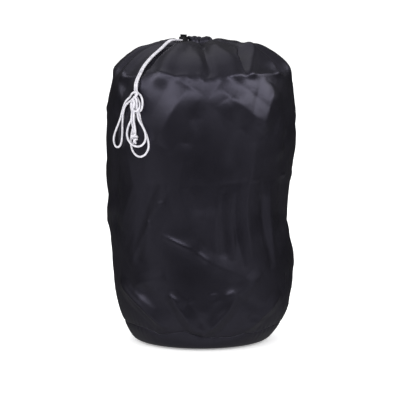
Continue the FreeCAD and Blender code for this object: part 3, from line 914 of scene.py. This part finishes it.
    @staticmethod
    def blurred(field_: np.ndarray, times: int) -> np.ndarray:
        """Broad part of a field over a grid that is closed across its columns.

        Args:
            field_: a grid of vectors.
            times: how often to average neighbours.

        Returns:
            The averaged grid.
        """
        for _ in range(times):
            field_ = (np.roll(field_, 1, 1) + 2 * field_ + np.roll(field_, -1, 1)) / 4
            padded = np.concatenate([field_[:1], field_, field_[-1:]])
            field_ = (padded[:-2] + 2 * field_ + padded[2:]) / 4
        return field_

    def refined(self, moved: np.ndarray, turn: np.ndarray, run: np.ndarray) -> np.ndarray:
        """Spread movements of the coarse grid smoothly over a finer one.

        Args:
            moved: movements of the coarse grid.
            turn: turns of the finer grid.
            run: runs of the finer grid.

        Returns:
            Movements of the finer grid.
        """
        rows, columns = moved.shape[:2]
        across = (turn[0] + 180) / 360 * columns
        left = np.floor(across).astype(int)
        part = (across - left)[None, :, None]
        wide = moved[:, left % columns] * (1 - part) + moved[:, (left + 1) % columns] * part
        up = run[:, 0] / self.neck_run * (rows - 1)
        low = np.minimum(np.floor(up).astype(int), rows - 2)
        part = (up - low)[:, None, None]
        fine = wide[low] * (1 - part) + wide[low + 1] * part
        for _ in range(2):
            fine = (np.roll(fine, 1, 1) + 2 * fine + np.roll(fine, -1, 1)) / 4
            fine[1:-1] = (fine[:-2] + 2 * fine[1:-1] + fine[2:]) / 4
        return fine

    @staticmethod
    def outward(points: np.ndarray) -> np.ndarray:
        """Outward normals of a grid that is closed across its columns.

        Args:
            points: rows by columns by 3.

        Returns:
            Unit normals, of the same shape.
        """
        across = np.roll(points, -1, 1) - np.roll(points, 1, 1)
        up = np.gradient(points, axis=0)
        normals = np.cross(across, up)
        return normals / np.maximum(np.linalg.norm(normals, axis=-1, keepdims=True), 1e-12)

    def pressed(self, points: np.ndarray, cords: Sequence[np.ndarray], radius: float) -> np.ndarray:
        """Push the cloth in where a cord lies on it, so that it rises again beside the cord.

        Args:
            points: rows by columns by 3.
            cords: centrelines of the cords.
            radius: the cord's radius.

        Returns:
            The cloth with the cords' dents in it.
        """
        line = np.concatenate([cord[::3] for cord in cords])
        tree = KDTree(len(line))
        for index, place in enumerate(line):
            tree.insert(place, index)
        tree.balance()
        low, high = line.min(0) - 0.02, line.max(0) + 0.02
        normals = self.outward(points)
        flat, out = points.reshape(-1, 3).copy(), normals.reshape(-1, 3)
        clear = radius + self.cord_clearance
        near = np.nonzero(((flat > low) & (flat < high)).all(axis=1))[0]
        for index in near:
            for place, _, _ in tree.find_range(flat[index], self.cord_reach):
                gap = flat[index] - np.array(place)
                height = gap @ out[index]
                beside = np.linalg.norm(gap - height * out[index])
                top = (beside - clear) * self.cord_bank
                if beside < clear:
                    top = -math.sqrt(clear ** 2 - beside ** 2)
                if height > top:
                    flat[index] -= out[index] * (height - top)
        return flat.reshape(points.shape)

    def seam_relief(self, turn: np.ndarray, run: np.ndarray) -> np.ndarray:
        """Lift of every place by the seams: a groove along each, puckered by its stitches.

        Args:
            turn: turns in degrees.
            run: runs in metres.

        Returns:
            Lifts in metres.
        """
        girth = np.interp(run, self._run, self._dense[:, 0])
        to_side = np.radians(np.minimum(np.abs(wrapped(turn - 90)), np.abs(wrapped(turn + 90)))) * girth
        ripple = np.sin(run / MM / 4.6 + 3 * np.sin(run / MM / 19))
        sides = (self.side_pucker * ripple * np.exp(-to_side / self.side_pucker_width)
                 - self.side_groove * np.exp(-to_side / self.side_groove_width))
        sides *= ease(run, self.seam_run - 1 * MM, self.seam_run + 4 * MM)
        bend, to_seam = np.radians(turn), np.abs(run - self.seam_run)
        ripple = np.sin(bend * 47 + 5 * np.sin(bend * 7))
        ripple *= 0.5 + 0.5 * np.sin(bend * 5 + 1.0) * np.sin(bend * 13)
        return (sides + self.bottom_pucker * ripple * np.exp(-to_seam / self.bottom_pucker_width)
                - self.bottom_groove * np.exp(-to_seam / self.bottom_groove_width))

    def settle(self, cords: Sequence[np.ndarray], radius: float) -> tuple[np.ndarray, np.ndarray, np.ndarray]:
        """Work out the whole cloth.

        Args:
            cords: centrelines of the cords that lie on it.
            radius: the cord's radius.

        Returns:
            Turns, runs and points of the finished grid.
        """
        turn, run = self.grid(self.columns, self.row_gap)
        points = self.draped(turn, run)
        coarse = self.grid(self.sim_columns, 2 * math.pi * self.coarse_radius / self.sim_columns)
        points = points + self.refined(self.simulate(self.draped(*coarse)), turn, run)
        shifted = run + self.seam_shift(turn, run)
        crisp = self.relief(turn, shifted, True) + self.seam_relief(turn, run)
        crisp *= ease(run, self.seam_run - 60 * MM, self.seam_run - 25 * MM)
        points = points + self.outward(points) * crisp[..., None]
        points = LockBerth().sunk(self.pressed(points, cords, radius))
        points[..., 2] = np.maximum(points[..., 2], CLOTH)
        return turn, run, points

    def side_piece(self, name: str, points: np.ndarray, runs: np.ndarray, first: int, front: bool,
                   material: bpy.types.Material) -> bpy.types.Object:
        """One side panel, with its edges turned in at both side seams and at the bottom seam.

        Args:
            name: the piece's name.
            points: the whole grid's points above the bottom seam.
            runs: the run of each row.
            first: the column at the panel's left seam.
            front: whether it is the front panel.
            material: the cloth.

        Returns:
            The panel.
        """
        columns = points.shape[1]
        picks = [(first + k) % columns for k in range(columns // 2 + 1)]
        body = points[:, picks]
        apart = np.array([0, -1.0 if front else 1.0, 0]) * CLOTH
        steps = np.array(self.hem_steps) * self.allowance
        left_in, right_in = (np.array([1.0, 0, 0]), np.array([-1.0, 0, 0]))
        if not front:
            left_in, right_in = right_in, left_in
        left = np.stack([body[:, 0] + left_in * s + apart for s in steps], axis=1)
        right = np.stack([body[:, -1] + right_in * s + apart for s in steps[::-1]], axis=1)
        wide = np.concatenate([left, body, right], axis=1)
        inward = wide[0] * [-1, -1, 0]
        inward /= np.linalg.norm(inward, axis=1)[:, None]
        hem = np.stack([wide[0] + inward * s + [0, 0, CLOTH] for s in steps])
        wide = np.concatenate([hem, wide])
        rows, across = wide.shape[:2]
        flat_x = (np.arange(across) - across / 2) * (math.pi * CHEST_RADIUS / (columns // 2))
        flat_y = np.concatenate([runs[0] - steps, runs])
        uv = np.stack(np.meshgrid(flat_x, flat_y), axis=-1).reshape(-1, 2)
        piece = add_mesh(name, wide.reshape(-1, 3), grid_faces(rows, across, False), material, uv)
        thicken(piece)
        return piece

    def bottom_piece(self, points: np.ndarray, material: bpy.types.Material) -> bpy.types.Object:
        """The round bottom panel, with its edge turned in at the seam.

        Args:
            points: the grid's points up to the bottom seam.
            material: the cloth.

        Returns:
            The panel.
        """
        edge = points[-1]
        inward = edge * [-1, -1, 0]
        inward /= np.linalg.norm(inward, axis=1)[:, None]
        steps = np.array(self.hem_steps[::-1]) * self.allowance
        hem = np.stack([edge + inward * s - [0, 0, CLOTH] for s in steps])
        rings = np.concatenate([points, hem])
        rows, columns = rings.shape[:2]
        vertices = np.concatenate([rings.reshape(-1, 3), rings[0].mean(0)[None]])
        faces: list = grid_faces(rows, columns, True)
        middle = len(vertices) - 1
        faces += [(middle, (j + 1) % columns, j) for j in range(columns)]
        piece = add_mesh("bottom_panel_cloth", vertices, faces, material, vertices[:, :2])
        thicken(piece)
        return piece

    def build(self, finishes: Finishes, cords: Sequence[np.ndarray], radius: float) -> "SkinPieces":
        """Args:
            finishes: the bag's materials.
            cords: centrelines of the cords.
            radius: the cord's radius.

        Returns:
            The finished grid.
        """
        turn, run, points = self.settle(cords, radius)
        seam_row = int(round(self.seam_run / self.neck_run * (len(run) - 1)))
        quarter = self.columns // 4
        side, runs = points[seam_row:], run[seam_row:, 0]
        front = self.side_piece("front_panel_cloth", side, runs, quarter, True, finishes.nylon)
        back = self.side_piece("back_panel_cloth", side, runs, 3 * quarter, False, finishes.nylon)
        bottom = self.bottom_piece(points[:seam_row + 1], finishes.nylon)
        for piece, node in ((front, "front_panel"), (back, "back_panel"), (bottom, "bottom_panel")):
            declare(piece, "nylon", node)
        return SkinPieces(turn, points, self.outward(points), seam_row, quarter)


@dataclass(frozen=True)
class SkinPieces:
    """The finished grid, for what is sewn to it."""

    turn: np.ndarray
    points: np.ndarray
    normals: np.ndarray
    seam_row: int
    quarter: int


@dataclass(frozen=True)
class Gathers:
    """Uneven gathers round the mouth: broad puffs of the dome's cloth, and tight ones of the casing."""

    puff_count: int = 5
    puff_lift: float = 8.0 * MM
    first_puff: float = 44.0        # degrees

    def lumps(self, turn: np.ndarray) -> np.ndarray:
        """Rounded lumps with narrow notches between them, from 0 to 1.

        Args:
            turn: turns in degrees.

        Returns:
            Heights from 0 to 1.
        """
        a = np.radians(turn - self.first_puff)
        uneven = a + 0.05 * np.sin(2 * a + 0.4)
        return np.abs(np.cos(self.puff_count / 2 * uneven)) ** 0.8

    def puffs(self, turn: np.ndarray) -> np.ndarray:
        """Height of the broad puffs, from about -0.5 to 1.2."""
        return 1.6 * self.lumps(turn) * (0.9 + 0.15 * np.sin(np.radians(3 * turn) + 0.9)) - 0.5

    def tight(self, turn: np.ndarray) -> np.ndarray:
        """Height of the casing's own gathers, from about -1 to 1.

        Args:
            turn: turns in degrees.

        Returns:
            Heights from about -1 to 1.
        """
        a = np.radians(turn)
        ripple = 0.14 * np.cos(17 * a + 1.5 * np.sin(3 * a)) + 0.1 * np.cos(23 * a + 2 * np.sin(2 * a))
        return 2 * self.lumps(turn) - 1 + ripple


GATHERS = Gathers()
# How far the bottom seam lies below its even line: (turn, millimetres along the cloth).
SEAM_WANDER = ((-180, 0), (-150, -6), (-118, -1), (-90, -5), (-62, -2), (-45, -4), (-33, -16),
               (-12.5, -3), (-0.7, -17), (19.8, -20), (32, -13), (44.6, -12), (66, -4), (90, -6),
               (121, -1), (149, -8), (180, 0))


def _folds(kind: FoldKind, *rows: tuple) -> list[Fold]:
    """Folds of one kind from (lift, width, path) rows."""
    return [Fold(path, lift, width, kind) for lift, width, path in rows]


def front_folds() -> list[Fold]:
    """Folds of the front."""
    return [
        *_folds(
            FoldKind.SOFT,
            (-4.0, 38, ((-1.0, 480), (-0.6, 440), (2.4, 300))),         # broad hollow in the middle
            (-2.2, 15, ((14.7, 318), (14.2, 205))),
            (-2.4, 14, ((43.5, 300), (48.2, 175))),
            (-2.0, 20, ((-3.5, 466), (-5.3, 388))),
            (-4.0, 22, ((-30, 330), (-44, 190))),
            (-3.6, 24, ((-60, 420), (-66, 250))),
            (-4.0, 26, ((60, 418), (66, 250))),
            (3.4, 26, ((52, 500), (56, 400))),
            (-3.5, 26, ((24, 470), (20, 390))),
            (2.6, 40, ((-8, 290), (-2, 230))),
            (-2.6, 20, ((-22, 92), (-40, 120))),
            (3.0, 22, ((2, 84), (4, 60))),
            (-2.4, 18, ((30, 100), (44, 74))),
            (5.5, 24, ((-41, 552), (-41, 528))),                        # cloth that the strands lie on
            (3.6, 34, ((-41, 512), (-41, 425))),
            (-3.0, 22, ((-56, 520), (-60, 480))),
        ),
        *_folds(
            FoldKind.FACET,
            (7.5, 36, ((-27.0, 420), (-22.7, 445), (-8.0, 530))),
            (8.0, 34, ((10.0, 528), (39.4, 453), (43.0, 440))),
            (7.0, 32, ((36.0, 440), (38.6, 453), (52, 532))),
            (5.0, 26, ((-17, 330), (-36, 240), (-52, 165))),
            (4.4, 24, ((-8, 420), (-12, 330), (-5, 250))),
            (4.6, 26, ((34, 420), (31, 300), (33, 180))),
            (4.2, 22, ((14, 330), (10, 250), (6, 150))),
            (4.0, 22, ((48, 350), (52, 260), (50, 175))),
            (4.0, 24, ((-50, 410), (-44, 330), (-58, 240))),
            (3.0, 26, ((14.6, 504), (23.3, 449))),
            (3.2, 26, ((-66.9, 536), (-52.7, 479))),
            (8.0, 24, ((-66, 133), (-42.8, 91), (-25.5, 46))),
            (8.0, 20, ((22, 118), (8, 60), (-2, 34))),
            (8.0, 20, ((-22, 122), (-12, 78), (-4, 36))),
            (4.0, 20, ((-50, 126), (-24, 158))),
            (4.0, 20, ((2, 100), (24, 124), (40, 158))),
            (3.2, 22, ((-24.1, 237), (-5.5, 210), (8, 178), (38, 136))),
            (7.0, 20, ((58, 112), (40, 64), (30, 40))),
        ),
        *_folds(
            FoldKind.CRISP,
            (-0.8, 9, ((-14, 334), (8.4, 336), (30.2, 341), (40, 341), (67.4, 337))),
            (1.8, 6, ((30.2, 343), (40, 343))),
            (1.6, 6, ((60, 347), (68, 345))),
            (-2.6, 11, ((23, 321), (24.1, 247), (26.7, 165))),
            (-1.6, 8, ((24.8, 257), (22, 184))),
            (2.6, 9, ((-24.1, 237), (-5.5, 210))),
            (2.2, 7, ((-1.8, 204), (3.7, 184))),
            (1.8, 6, ((-33.5, 265), (-29.8, 254))),
            (1.6, 6, ((-25.9, 296), (-20.5, 303))),
            (2.2, 7, ((-21.6, 118), (-15.8, 105))),
            (1.9, 6, ((-12.2, 85), (-10.1, 103), (-5, 114))),
            (1.8, 6, ((3.1, 116), (8.7, 120))),
            (2.2, 6, ((13.1, 117), (19.5, 126))),
            (2.4, 8, ((-66, 133), (-42.8, 91), (-25.5, 44))),
            (2.0, 8, ((-53, 128), (-31.2, 79))),
            (-2.4, 9, ((-58, 118), (-38, 66), (-34, 50))),
            (1.8, 8, ((14, 92), (2, 42))),
            (-2.0, 8, ((-4, 70), (5, 40))),
            (-2.2, 8, ((30, 70), (48, 62))),
            (-1.6, 6, ((33, 462), (41, 446))),
            (2.2, 9, ((-68.5, 539), (-53.1, 544), (-41.5, 549))),       # the shoulder's sharp edge
            (2.4, 9, ((-36, 551), (-28.9, 555), (-17, 548), (-7.4, 554))),
            (2.4, 9, ((3.8, 547), (15.8, 550), (29.9, 549), (47.6, 551), (64, 547), (81.1, 541))),
            (1.8, 6, ((-2, 557), (1, 538))),
            (-1.8, 6, ((1.5, 557), (3, 541))),
            (1.8, 6, ((7, 556), (5, 541))),
            (1.6, 6, ((-10, 553), (-6, 541))),
            (-1.6, 7, ((17, 556), (12, 545))),
        ),
        *_folds(
            FoldKind.LAP,
            (4.6, 18, ((67.9, 38), (62.6, 93), (64, 148))),
            (3.6, 13, ((78, 48), (74, 100), (73.5, 150))),
        ),
    ]


def dome_folds() -> list[Fold]:
    """Deep pleats of the dome, from the shoulder up to the mouth."""
    swell = ((-62, 7, 20), (-26, 6, 26), (24, 5, 20), (62, 4, 14), (84, 6, 20), (108, 5, 18),
             (130, 6, 20), (152, 5, 18), (174, 6, 20), (-164, 5, 18), (-140, 6, 20), (-116, 6, 20),
             (-88, 5, 16))
    hollow = ((-42, -8, 12), (-76, -7, 11), (6, -5, 13), (72, -6, 10), (96, -8, 11),
              (119, -7, 10), (141, -8, 11), (163, -7, 10), (-174, -8, 11), (-152, -7, 10), (-128, -8, 11),
              (-101, -7, 10))
    rows = [(lift, width, ((turn, 552), (turn * 1.02, 575), (turn * 1.03, 601)))
            for turn, lift, width in swell + hollow]
    rows += [(9, 34, ((84, 562), (86, 590))), (6, 34, ((-84, 562), (-86, 590))),
             (8, 30, ((60, 570), (62, 592)))]
    lobe = (6.5, 15, ((34.9, 556), (46.1, 577), (66, 595)))
    flap = (10.0, 20, ((31, 551), (30.5, 560), (33, 582), (50, 599)))
    return [*_folds(FoldKind.SOFT, *rows, lobe), *_folds(FoldKind.LAP, flap)]


def back_folds(seed: int = 11) -> list[Fold]:
    """Folds of the sides and the back, like those of the front: long soft ones, facets and short creases.

    Args:
        seed: of the random draws.

    Returns:
        The folds.
    """
    rng = np.random.default_rng(seed)
    kinds = ((FoldKind.SOFT, 30, (90, 190), (2.2, 3.6), (18, 34)),
             (FoldKind.FACET, 16, (60, 120), (2.6, 4.4), (24, 34)),
             (FoldKind.CRISP, 34, (16, 80), (1.4, 2.8), (6, 10)))
    folds = []
    for kind, count, lengths, lifts, widths in kinds:
        for _ in range(count):
            turn, height = rng.uniform(80, 280), rng.uniform(60, 525)
            steep = math.radians(rng.choice([90, 78, 102, 45, 135, 25, 155]) + rng.uniform(-12, 12))
            length = rng.uniform(*lengths) / 2
            across, up = math.degrees(math.cos(steep) * length / 187), math.sin(steep) * length
            ends = [(turn + side * across, min(max(height + side * up, 48), 545)) for side in (-1, 1)]
            lift = rng.uniform(*lifts) * rng.choice([-1, 1])
            folds.append(Fold(tuple(ends), lift, rng.uniform(*widths), kind))
    ridge = [(turn, 546 + 5 * math.sin(turn * 0.13)) for turn in range(84, 280, 14)]
    folds.append(Fold(tuple(ridge), 2.2, 9, FoldKind.CRISP))
    packing = [(turn, 337 + 3 * math.sin(turn * 0.05)) for turn in range(82, 280, 22)]
    folds.append(Fold(tuple(packing), -0.8, 9, FoldKind.CRISP))
    return folds


# ---- mouth --------------------------------------------------------------------------------
@dataclass
class MouthCasing:
    """The hem that holds the cord, drawn up into uneven gathers round the open throat."""

    columns: int = 320
    eyelet_face: float = 27.0 * MM
    eyelet_hole: float = 5.2 * MM
    eyelet_flat: float = 12.0 * MM
    wall_depth: float = 6.0 * MM    # as deep as the hole is cut
    # Section from the outside up over the top and down the throat: radius, height, gathers' reach
    # outwards and upwards, all in millimetres.
    section: tuple[tuple[float, float, float, float], ...] = (
        (37.0, 603.6, 1.5, 0.6), (34.0, 605.6, 2.2, 0.6), (31.8, 608.2, 2.6, 0.8), (30.4, 611.2, 2.8, 1.2),
        (28.6, 614.0, 2.6, 2.0), (26.0, 616.2, 2.0, 2.6), (23.0, 617.2, 1.4, 2.8), (20.0, 616.8, 1.2, 2.4),
        (17.0, 614.6, 1.3, 1.4), (15.2, 610.2, 1.2, 0.4), (14.8, 604.6, 1.3, 0.2), (15.4, 599.0, 1.5, 0.2),
        (17.2, 594.4, 1.7, 0.8))
    section_gap: float = 1.3        # millimetres between rows
    eyelet_rise: float = 2.4        # millimetres that the hem stands higher round the eyelet
    eyelet_spread: float = 24.0     # degrees

    def build(self, material: bpy.types.Material) -> bpy.types.Object:
        """Make the casing.

        Args:
            material: the cloth.

        Returns:
            The casing.
        """
        section = evenly(smooth_curve(self.section, 200), self.section_gap)
        turns = np.linspace(-180, 180, self.columns, endpoint=False)
        wave = GATHERS.tight(turns)
        from_exit = wrapped(turns - (EXIT_BEARING - 270))
        radius = section[:, 0, None] + section[:, 2, None] * wave
        lump = 0.9 * np.sin(np.radians(turns) * 5 + 0.7) + 0.6 * np.sin(np.radians(turns) * 11 + 2.0)
        height = section[:, 1, None] + section[:, 3, None] * (0.8 * wave + 0.2 * lump)
        higher = self.eyelet_rise * np.exp(-(from_exit / self.eyelet_spread) ** 2)
        height += higher * ease(section[:, 1, None], 606.0, 615.0)
        out = np.stack([np.sin(np.radians(turns)), -np.cos(np.radians(turns))], axis=1)
        points = np.concatenate([out[None] * radius[..., None], height[..., None]], axis=2) * MM
        points = LockBerth().sunk(self.flatten_for_eyelet(points + [*MOUTH[:2], 0.0]))
        faces = grid_faces(len(section), self.columns, True)
        axis = bearing_vector(EXIT_BEARING)
        middle = np.array(MOUTH) + [0, 0, EXIT_HEIGHT] + axis * self.eyelet_face
        flat = points.reshape(-1, 3)
        gap = flat - middle
        off = np.linalg.norm(gap - (gap @ axis)[:, None] * axis, axis=1)
        in_hole = (off < self.eyelet_hole) & (np.abs(gap @ axis) < self.wall_depth)
        faces = [face for face in faces if not in_hole[list(face)].all()]
        uv = np.stack([np.tile(np.radians(turns) * CHEST_RADIUS, len(section)),
                       np.repeat(np.arange(len(section)) * self.section_gap * MM, self.columns)], axis=1)
        casing = add_mesh("mouth_casing_cloth", flat, faces, material, uv)
        thicken(casing)
        return casing

    def flatten_for_eyelet(self, points: np.ndarray) -> np.ndarray:
        """Smooth the outer wall to a small flat where the eyelet is set.

        Args:
            points: the casing, with a last axis of length 3.

        Returns:
            The casing with its flat.
        """
        axis = bearing_vector(EXIT_BEARING)
        across = np.cross([0, 0, 1], axis)
        gap = points - (np.array(MOUTH) + [0, 0, EXIT_HEIGHT])
        out, side, up = gap @ axis, gap @ across, gap[..., 2]
        reach = np.hypot(side, up)
        share = (1 - ease(reach, 7 * MM, self.eyelet_flat)) * (out > 0.021)
        return points + axis * (share * (self.eyelet_face - out))[..., None]


# ---- stitches -----------------------------------------------------------------------------
@dataclass
class StitchRow:
    """Lockstitches along a line: each a short round thread that dips into the cloth at both ends."""

    pitch: float = 3.2 * MM
    length: float = 2.7 * MM
    thread: float = 0.5 * MM
    sides: int = 6
    bow: tuple[float, ...] = (-0.25, 0.35, 0.6, 0.35, -0.25)
    normal_weight: float = 1e-4     # so small that only the line's own length sets the spacing

    def mesh(self, line: np.ndarray, normals: np.ndarray) -> tuple[np.ndarray, list]:
        """Vertices and faces of the stitches.

        Args:
            line: points on the cloth.
            normals: which way the thread stands off the cloth, for each point.

        Returns:
            Vertices, and the corner indices of each face.
        """
        both = evenly(np.concatenate([line, normals * self.normal_weight], axis=1), self.pitch)
        vertices, faces = [], []
        turns = np.linspace(0, 2 * math.pi, self.sides, endpoint=False)
        spots = np.linspace(-0.5, 0.5, len(self.bow)) * self.length
        for here, after in zip(both[:-1], both[1:]):
            along = after[:3] - here[:3]
            along /= max(np.linalg.norm(along), 1e-9)
            up = here[3:] - along * (here[3:] @ along)
            up /= max(np.linalg.norm(up), 1e-9)
            side = np.cross(along, up)
            middle, base = (here[:3] + after[:3]) / 2, len(vertices)
            for spot, bow in zip(spots, self.bow):
                centre = middle + along * spot + up * bow * self.thread
                for turn in turns:
                    vertices.append(centre + (side * math.cos(turn) + up * math.sin(turn)) * self.thread / 2)
            faces += [tuple(base + k for k in face) for face in grid_faces(len(spots), self.sides, True)]
            faces.append(tuple(base + k for k in reversed(range(self.sides))))
            faces.append(tuple(base + len(spots) * self.sides - self.sides + k for k in range(self.sides)))
        return np.array(vertices), faces

    def build(self, name: str, rows: Sequence[tuple[np.ndarray, np.ndarray]],
              material: bpy.types.Material) -> bpy.types.Object:
        """Make one piece of several rows of stitches.

        Args:
            name: the piece's name.
            rows: a line and its normals for each row.
            material: the thread.

        Returns:
            The stitches.
        """
        vertices, faces = [], []
        for line, normals in rows:
            more, their = self.mesh(line, normals)
            faces += [tuple(len(vertices) + k for k in face) for face in their]
            vertices += list(more)
        return add_mesh(name, np.array(vertices), faces, material)


@dataclass
class Seams:
    """Every row of stitches on the skin."""

    inset: float = 5.6 * MM
    stand: float = 0.9 * MM

    def build(self, skin: SkinPieces, material: bpy.types.Material) -> None:
        """Sew the side seams, the bottom seam and the casing.

        Args:
            skin: the finished grid.
            material: the thread.
        """
        stitches = StitchRow()
        names = {skin.quarter: "left", 3 * skin.quarter: "right"}
        for column, name in names.items():
            line = skin.points[skin.seam_row + 3:-10, column]
            inward = np.array([1.0 if name == "left" else -1.0, 0, 0])
            rows = [(line + inward * self.inset + np.array([0, s, 0]) * self.stand,
                     np.tile([0.0, s, 0.0], (len(line), 1))) for s in (-1.0, 1.0)]
            piece = stitches.build(f"side_seam_stitches_{name}", rows, material)
            declare(piece, "thread", f"side_seam_thread_{name}")
        edge = skin.points[skin.seam_row]
        edge = np.concatenate([edge, edge[:1]])
        inward = edge * [-1, -1, 0]
        inward /= np.linalg.norm(inward, axis=1)[:, None]
        rows = [(edge + inward * self.inset + np.array([0, 0, s]) * self.stand,
                 np.tile([0.0, 0.0, s], (len(edge), 1))) for s in (-1.0, 1.0)]
        declare(stitches.build("bottom_seam_stitches", rows, material), "thread", "bottom_seam_thread")
        neck = np.concatenate([skin.points[-2], skin.points[-2, :1]])
        normals = np.concatenate([skin.normals[-2], skin.normals[-2, :1]])
        declare(stitches.build("casing_stitches", [(neck, normals)], material), "thread", "casing_thread")


# ---- studio -------------------------------------------------------------------------------
@dataclass
class Studio:
    """Pale floor, white surroundings, soft lamps and the camera."""

    target: Point = (-0.002, 0.0, 0.286)
    distance: float = 4.5
    elevation: float = 7.0
    half_width: float = 0.408
    floor_radius: float = 9.0
    ring_turns: tuple[int, ...] = (-84, -42, 0, 42, 84)
    ring_radius: float = 3.1
    ring_height: float = 2.15
    ring_size: tuple[float, float] = (2.3, 0.9)
    ring_watts: float = 17.0
    overhead_place: Point = (-0.5, 0.8, 2.7)
    overhead_size: tuple[float, float] = (1.9, 1.9)
    overhead_watts: float = 5.0
    floor_sides: int = 96
    floor_drop: float = 0.3 * MM    # below the flat that the bag stands on
    table_glow: float = 0.35        # the floor is a light table, so the bag hardly throws a shadow

    def lamp(self, name: str, place: Point, size: tuple[float, float], watts: float,
             aim: Point = (0.0, 0.0, 0.35)) -> None:
        """Hang one softbox, aimed at the bag.

        Args:
            name: the lamp's name.
            place: where it hangs.
            size: its width and height.
            watts: its power.
            aim: the point it faces.
        """
        data = bpy.data.lights.new(name, "AREA")
        data.shape = "RECTANGLE"
        data.size, data.size_y = size
        data.energy = watts
        lamp = bpy.data.objects.new(name, data)
        lamp.location = place
        lamp.rotation_euler = (Vector(aim) - Vector(place)).to_track_quat("-Z", "Y").to_euler()
        bpy.context.scene.collection.objects.link(lamp)

    def world(self) -> None:
        """White all round, which gloss sees dimmer, as if past the edge of a studio's white walls."""
        world = bpy.data.worlds.new("studio")
        world.use_nodes = True
        tree = world.node_tree
        background = tree.nodes["Background"]
        path = add_node(tree, "LightPath")
        towards = add_node(tree, "SeparateXYZ", {0: add_node(tree, "TexCoord").outputs["Generated"]})
        # gloss sees dark at eye level but for a glow to each side, pale walls above and a dim floor below
        along = add_node(tree, "Math", {0: towards.outputs["Y"], 1: 0.45}, operation="ADD")
        beside = add_node(tree, "Math", {0: along.outputs[0]}, operation="ABSOLUTE")
        walls = add_node(tree, "MapRange", {0: beside.outputs[0], 1: 0.05, 2: 0.8, 3: 0.26, 4: 0.11})
        glow = add_node(tree, "MapRange", {0: beside.outputs[0], 1: 0.05, 2: 0.42, 3: 0.20, 4: 0.01})
        above = add_node(tree, "MapRange", {0: towards.outputs["Z"], 1: 0.0, 2: 0.5, 3: glow.outputs[0],
                                            4: walls.outputs[0]})
        below = add_node(tree, "MapRange", {0: towards.outputs["Z"], 1: -0.6, 2: -0.1, 3: 0.17, 4: 0.0})
        gloss = add_node(tree, "Math", {0: above.outputs[0], 1: below.outputs[0]}, operation="ADD")
        strength = add_node(tree, "MapRange", {0: path.outputs["Is Glossy Ray"], 3: 1.15,
                                               4: gloss.outputs[0]})
        tree.links.new(strength.outputs[0], background.inputs["Strength"])
        background.inputs["Color"].default_value = (1, 1, 1, 1)
        bpy.context.scene.world = world

    def floor(self) -> None:
        """Lay the pale floor."""
        sides = self.floor_sides
        turns = np.linspace(0, 2 * math.pi, sides, endpoint=False)
        ring = np.stack([np.cos(turns), np.sin(turns), np.zeros(sides)], axis=1)
        vertices = np.concatenate([ring * r for r in (0.6, 2.0, self.floor_radius)] + [np.zeros((1, 3))])
        vertices[:, 2] = -self.floor_drop
        faces: list = [tuple(reversed(face)) for face in grid_faces(3, sides, True)]
        faces += [(len(vertices) - 1, j, (j + 1) % sides) for j in range(sides)]
        material, tree, shader = new_material("pale_floor")
        place = add_node(tree, "TexCoord").outputs["Object"]
        mottle = add_node(tree, "TexNoise", {"Vector": place, "Scale": 3.0, "Detail": 3.0})
        tint = add_node(tree, "Mix", {0: mottle.outputs[0], 6: linear("f7f7f8"), 7: linear("fcfcfc")},
                        data_type="RGBA")
        tree.links.new(tint.outputs[2], shader.inputs["Base Color"])
        shader.inputs["Roughness"].default_value = 0.8
        shader.inputs["Specular IOR Level"].default_value = 0.1
        shader.inputs["Emission Color"].default_value = linear("ffffff")
        shader.inputs["Emission Strength"].default_value = self.table_glow
        floor = add_mesh("floor", vertices, faces, material)
        floor.visible_glossy = False    # the cloth's gloss would mirror all that white

    def camera(self) -> None:
        """Set up the camera, a little above the bag's middle and a long way off."""
        data = bpy.data.cameras.new("camera")
        data.sensor_width = 36.0
        data.lens = data.sensor_width / 2 * self.distance / self.half_width
        camera = bpy.data.objects.new("camera", data)
        rise = math.radians(self.elevation)
        away = Vector((0, -math.cos(rise), math.sin(rise)))
        camera.location = Vector(self.target) + away * self.distance
        camera.rotation_euler = (-away).to_track_quat("-Z", "Y").to_euler()
        bpy.context.scene.collection.objects.link(camera)
        bpy.context.scene.camera = camera

    def build(self) -> None:
        """Set up the whole studio."""
        self.camera()
        self.world()
        self.floor()
        for turn in self.ring_turns:
            sine, cosine = math.sin(math.radians(turn)), math.cos(math.radians(turn))
            place = (self.ring_radius * sine, -self.ring_radius * cosine, self.ring_height)
            self.lamp(f"softbox_{turn:+d}", place, self.ring_size, self.ring_watts)
        self.lamp("overhead_softbox", self.overhead_place, self.overhead_size, self.overhead_watts)
        bpy.context.scene.view_settings.view_transform = "Standard"


# ---- the whole bag ------------------------------------------------------------------------
def dress(frame: dict, finishes: Finishes) -> None:
    """Give the pieces that the frame already shapes their finishes.

    Args:
        finishes: the bag's materials.
    """
    wanted = {"eyelet": finishes.enamel, "eyelet_washer": finishes.enamel,
              "cord_in_casing": finishes.cord, "lock_barrel": finishes.plastic,
              "lock_plunger": finishes.plunger, "lock_spring": finishes.steel}
    for node, material in wanted.items():
        obj = frame["nodes"][node]
        obj.data.materials.clear()
        obj.data.materials.append(material)
        LOG.info("dressed %s with %s", node, material.name)
    squash_spring(frame["nodes"]["lock_spring"])


def main() -> None:
    """Build the bag round its frame."""
    logging.basicConfig(level=logging.INFO, format="%(name)s: %(message)s")
    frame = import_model()
    Studio().build()
    finishes = Finishes.build()
    cord = Drawcord()
    lines = cord.build(finishes)
    LOG.info("the drawcord's two lengths are %.3f m and %.3f m",
             *(len(line) * cord.ring_gap for line in lines))
    skin = Skin(folds=front_folds() + dome_folds() + back_folds())
    sewn = skin.build(finishes, lines, cord.diameter / 2)
    casing = MouthCasing().build(finishes.nylon)
    declare(casing, "nylon", "mouth_casing")
    Seams().build(sewn, finishes.thread)
    dress(frame, finishes)


if __name__ == "__main__":
    main()
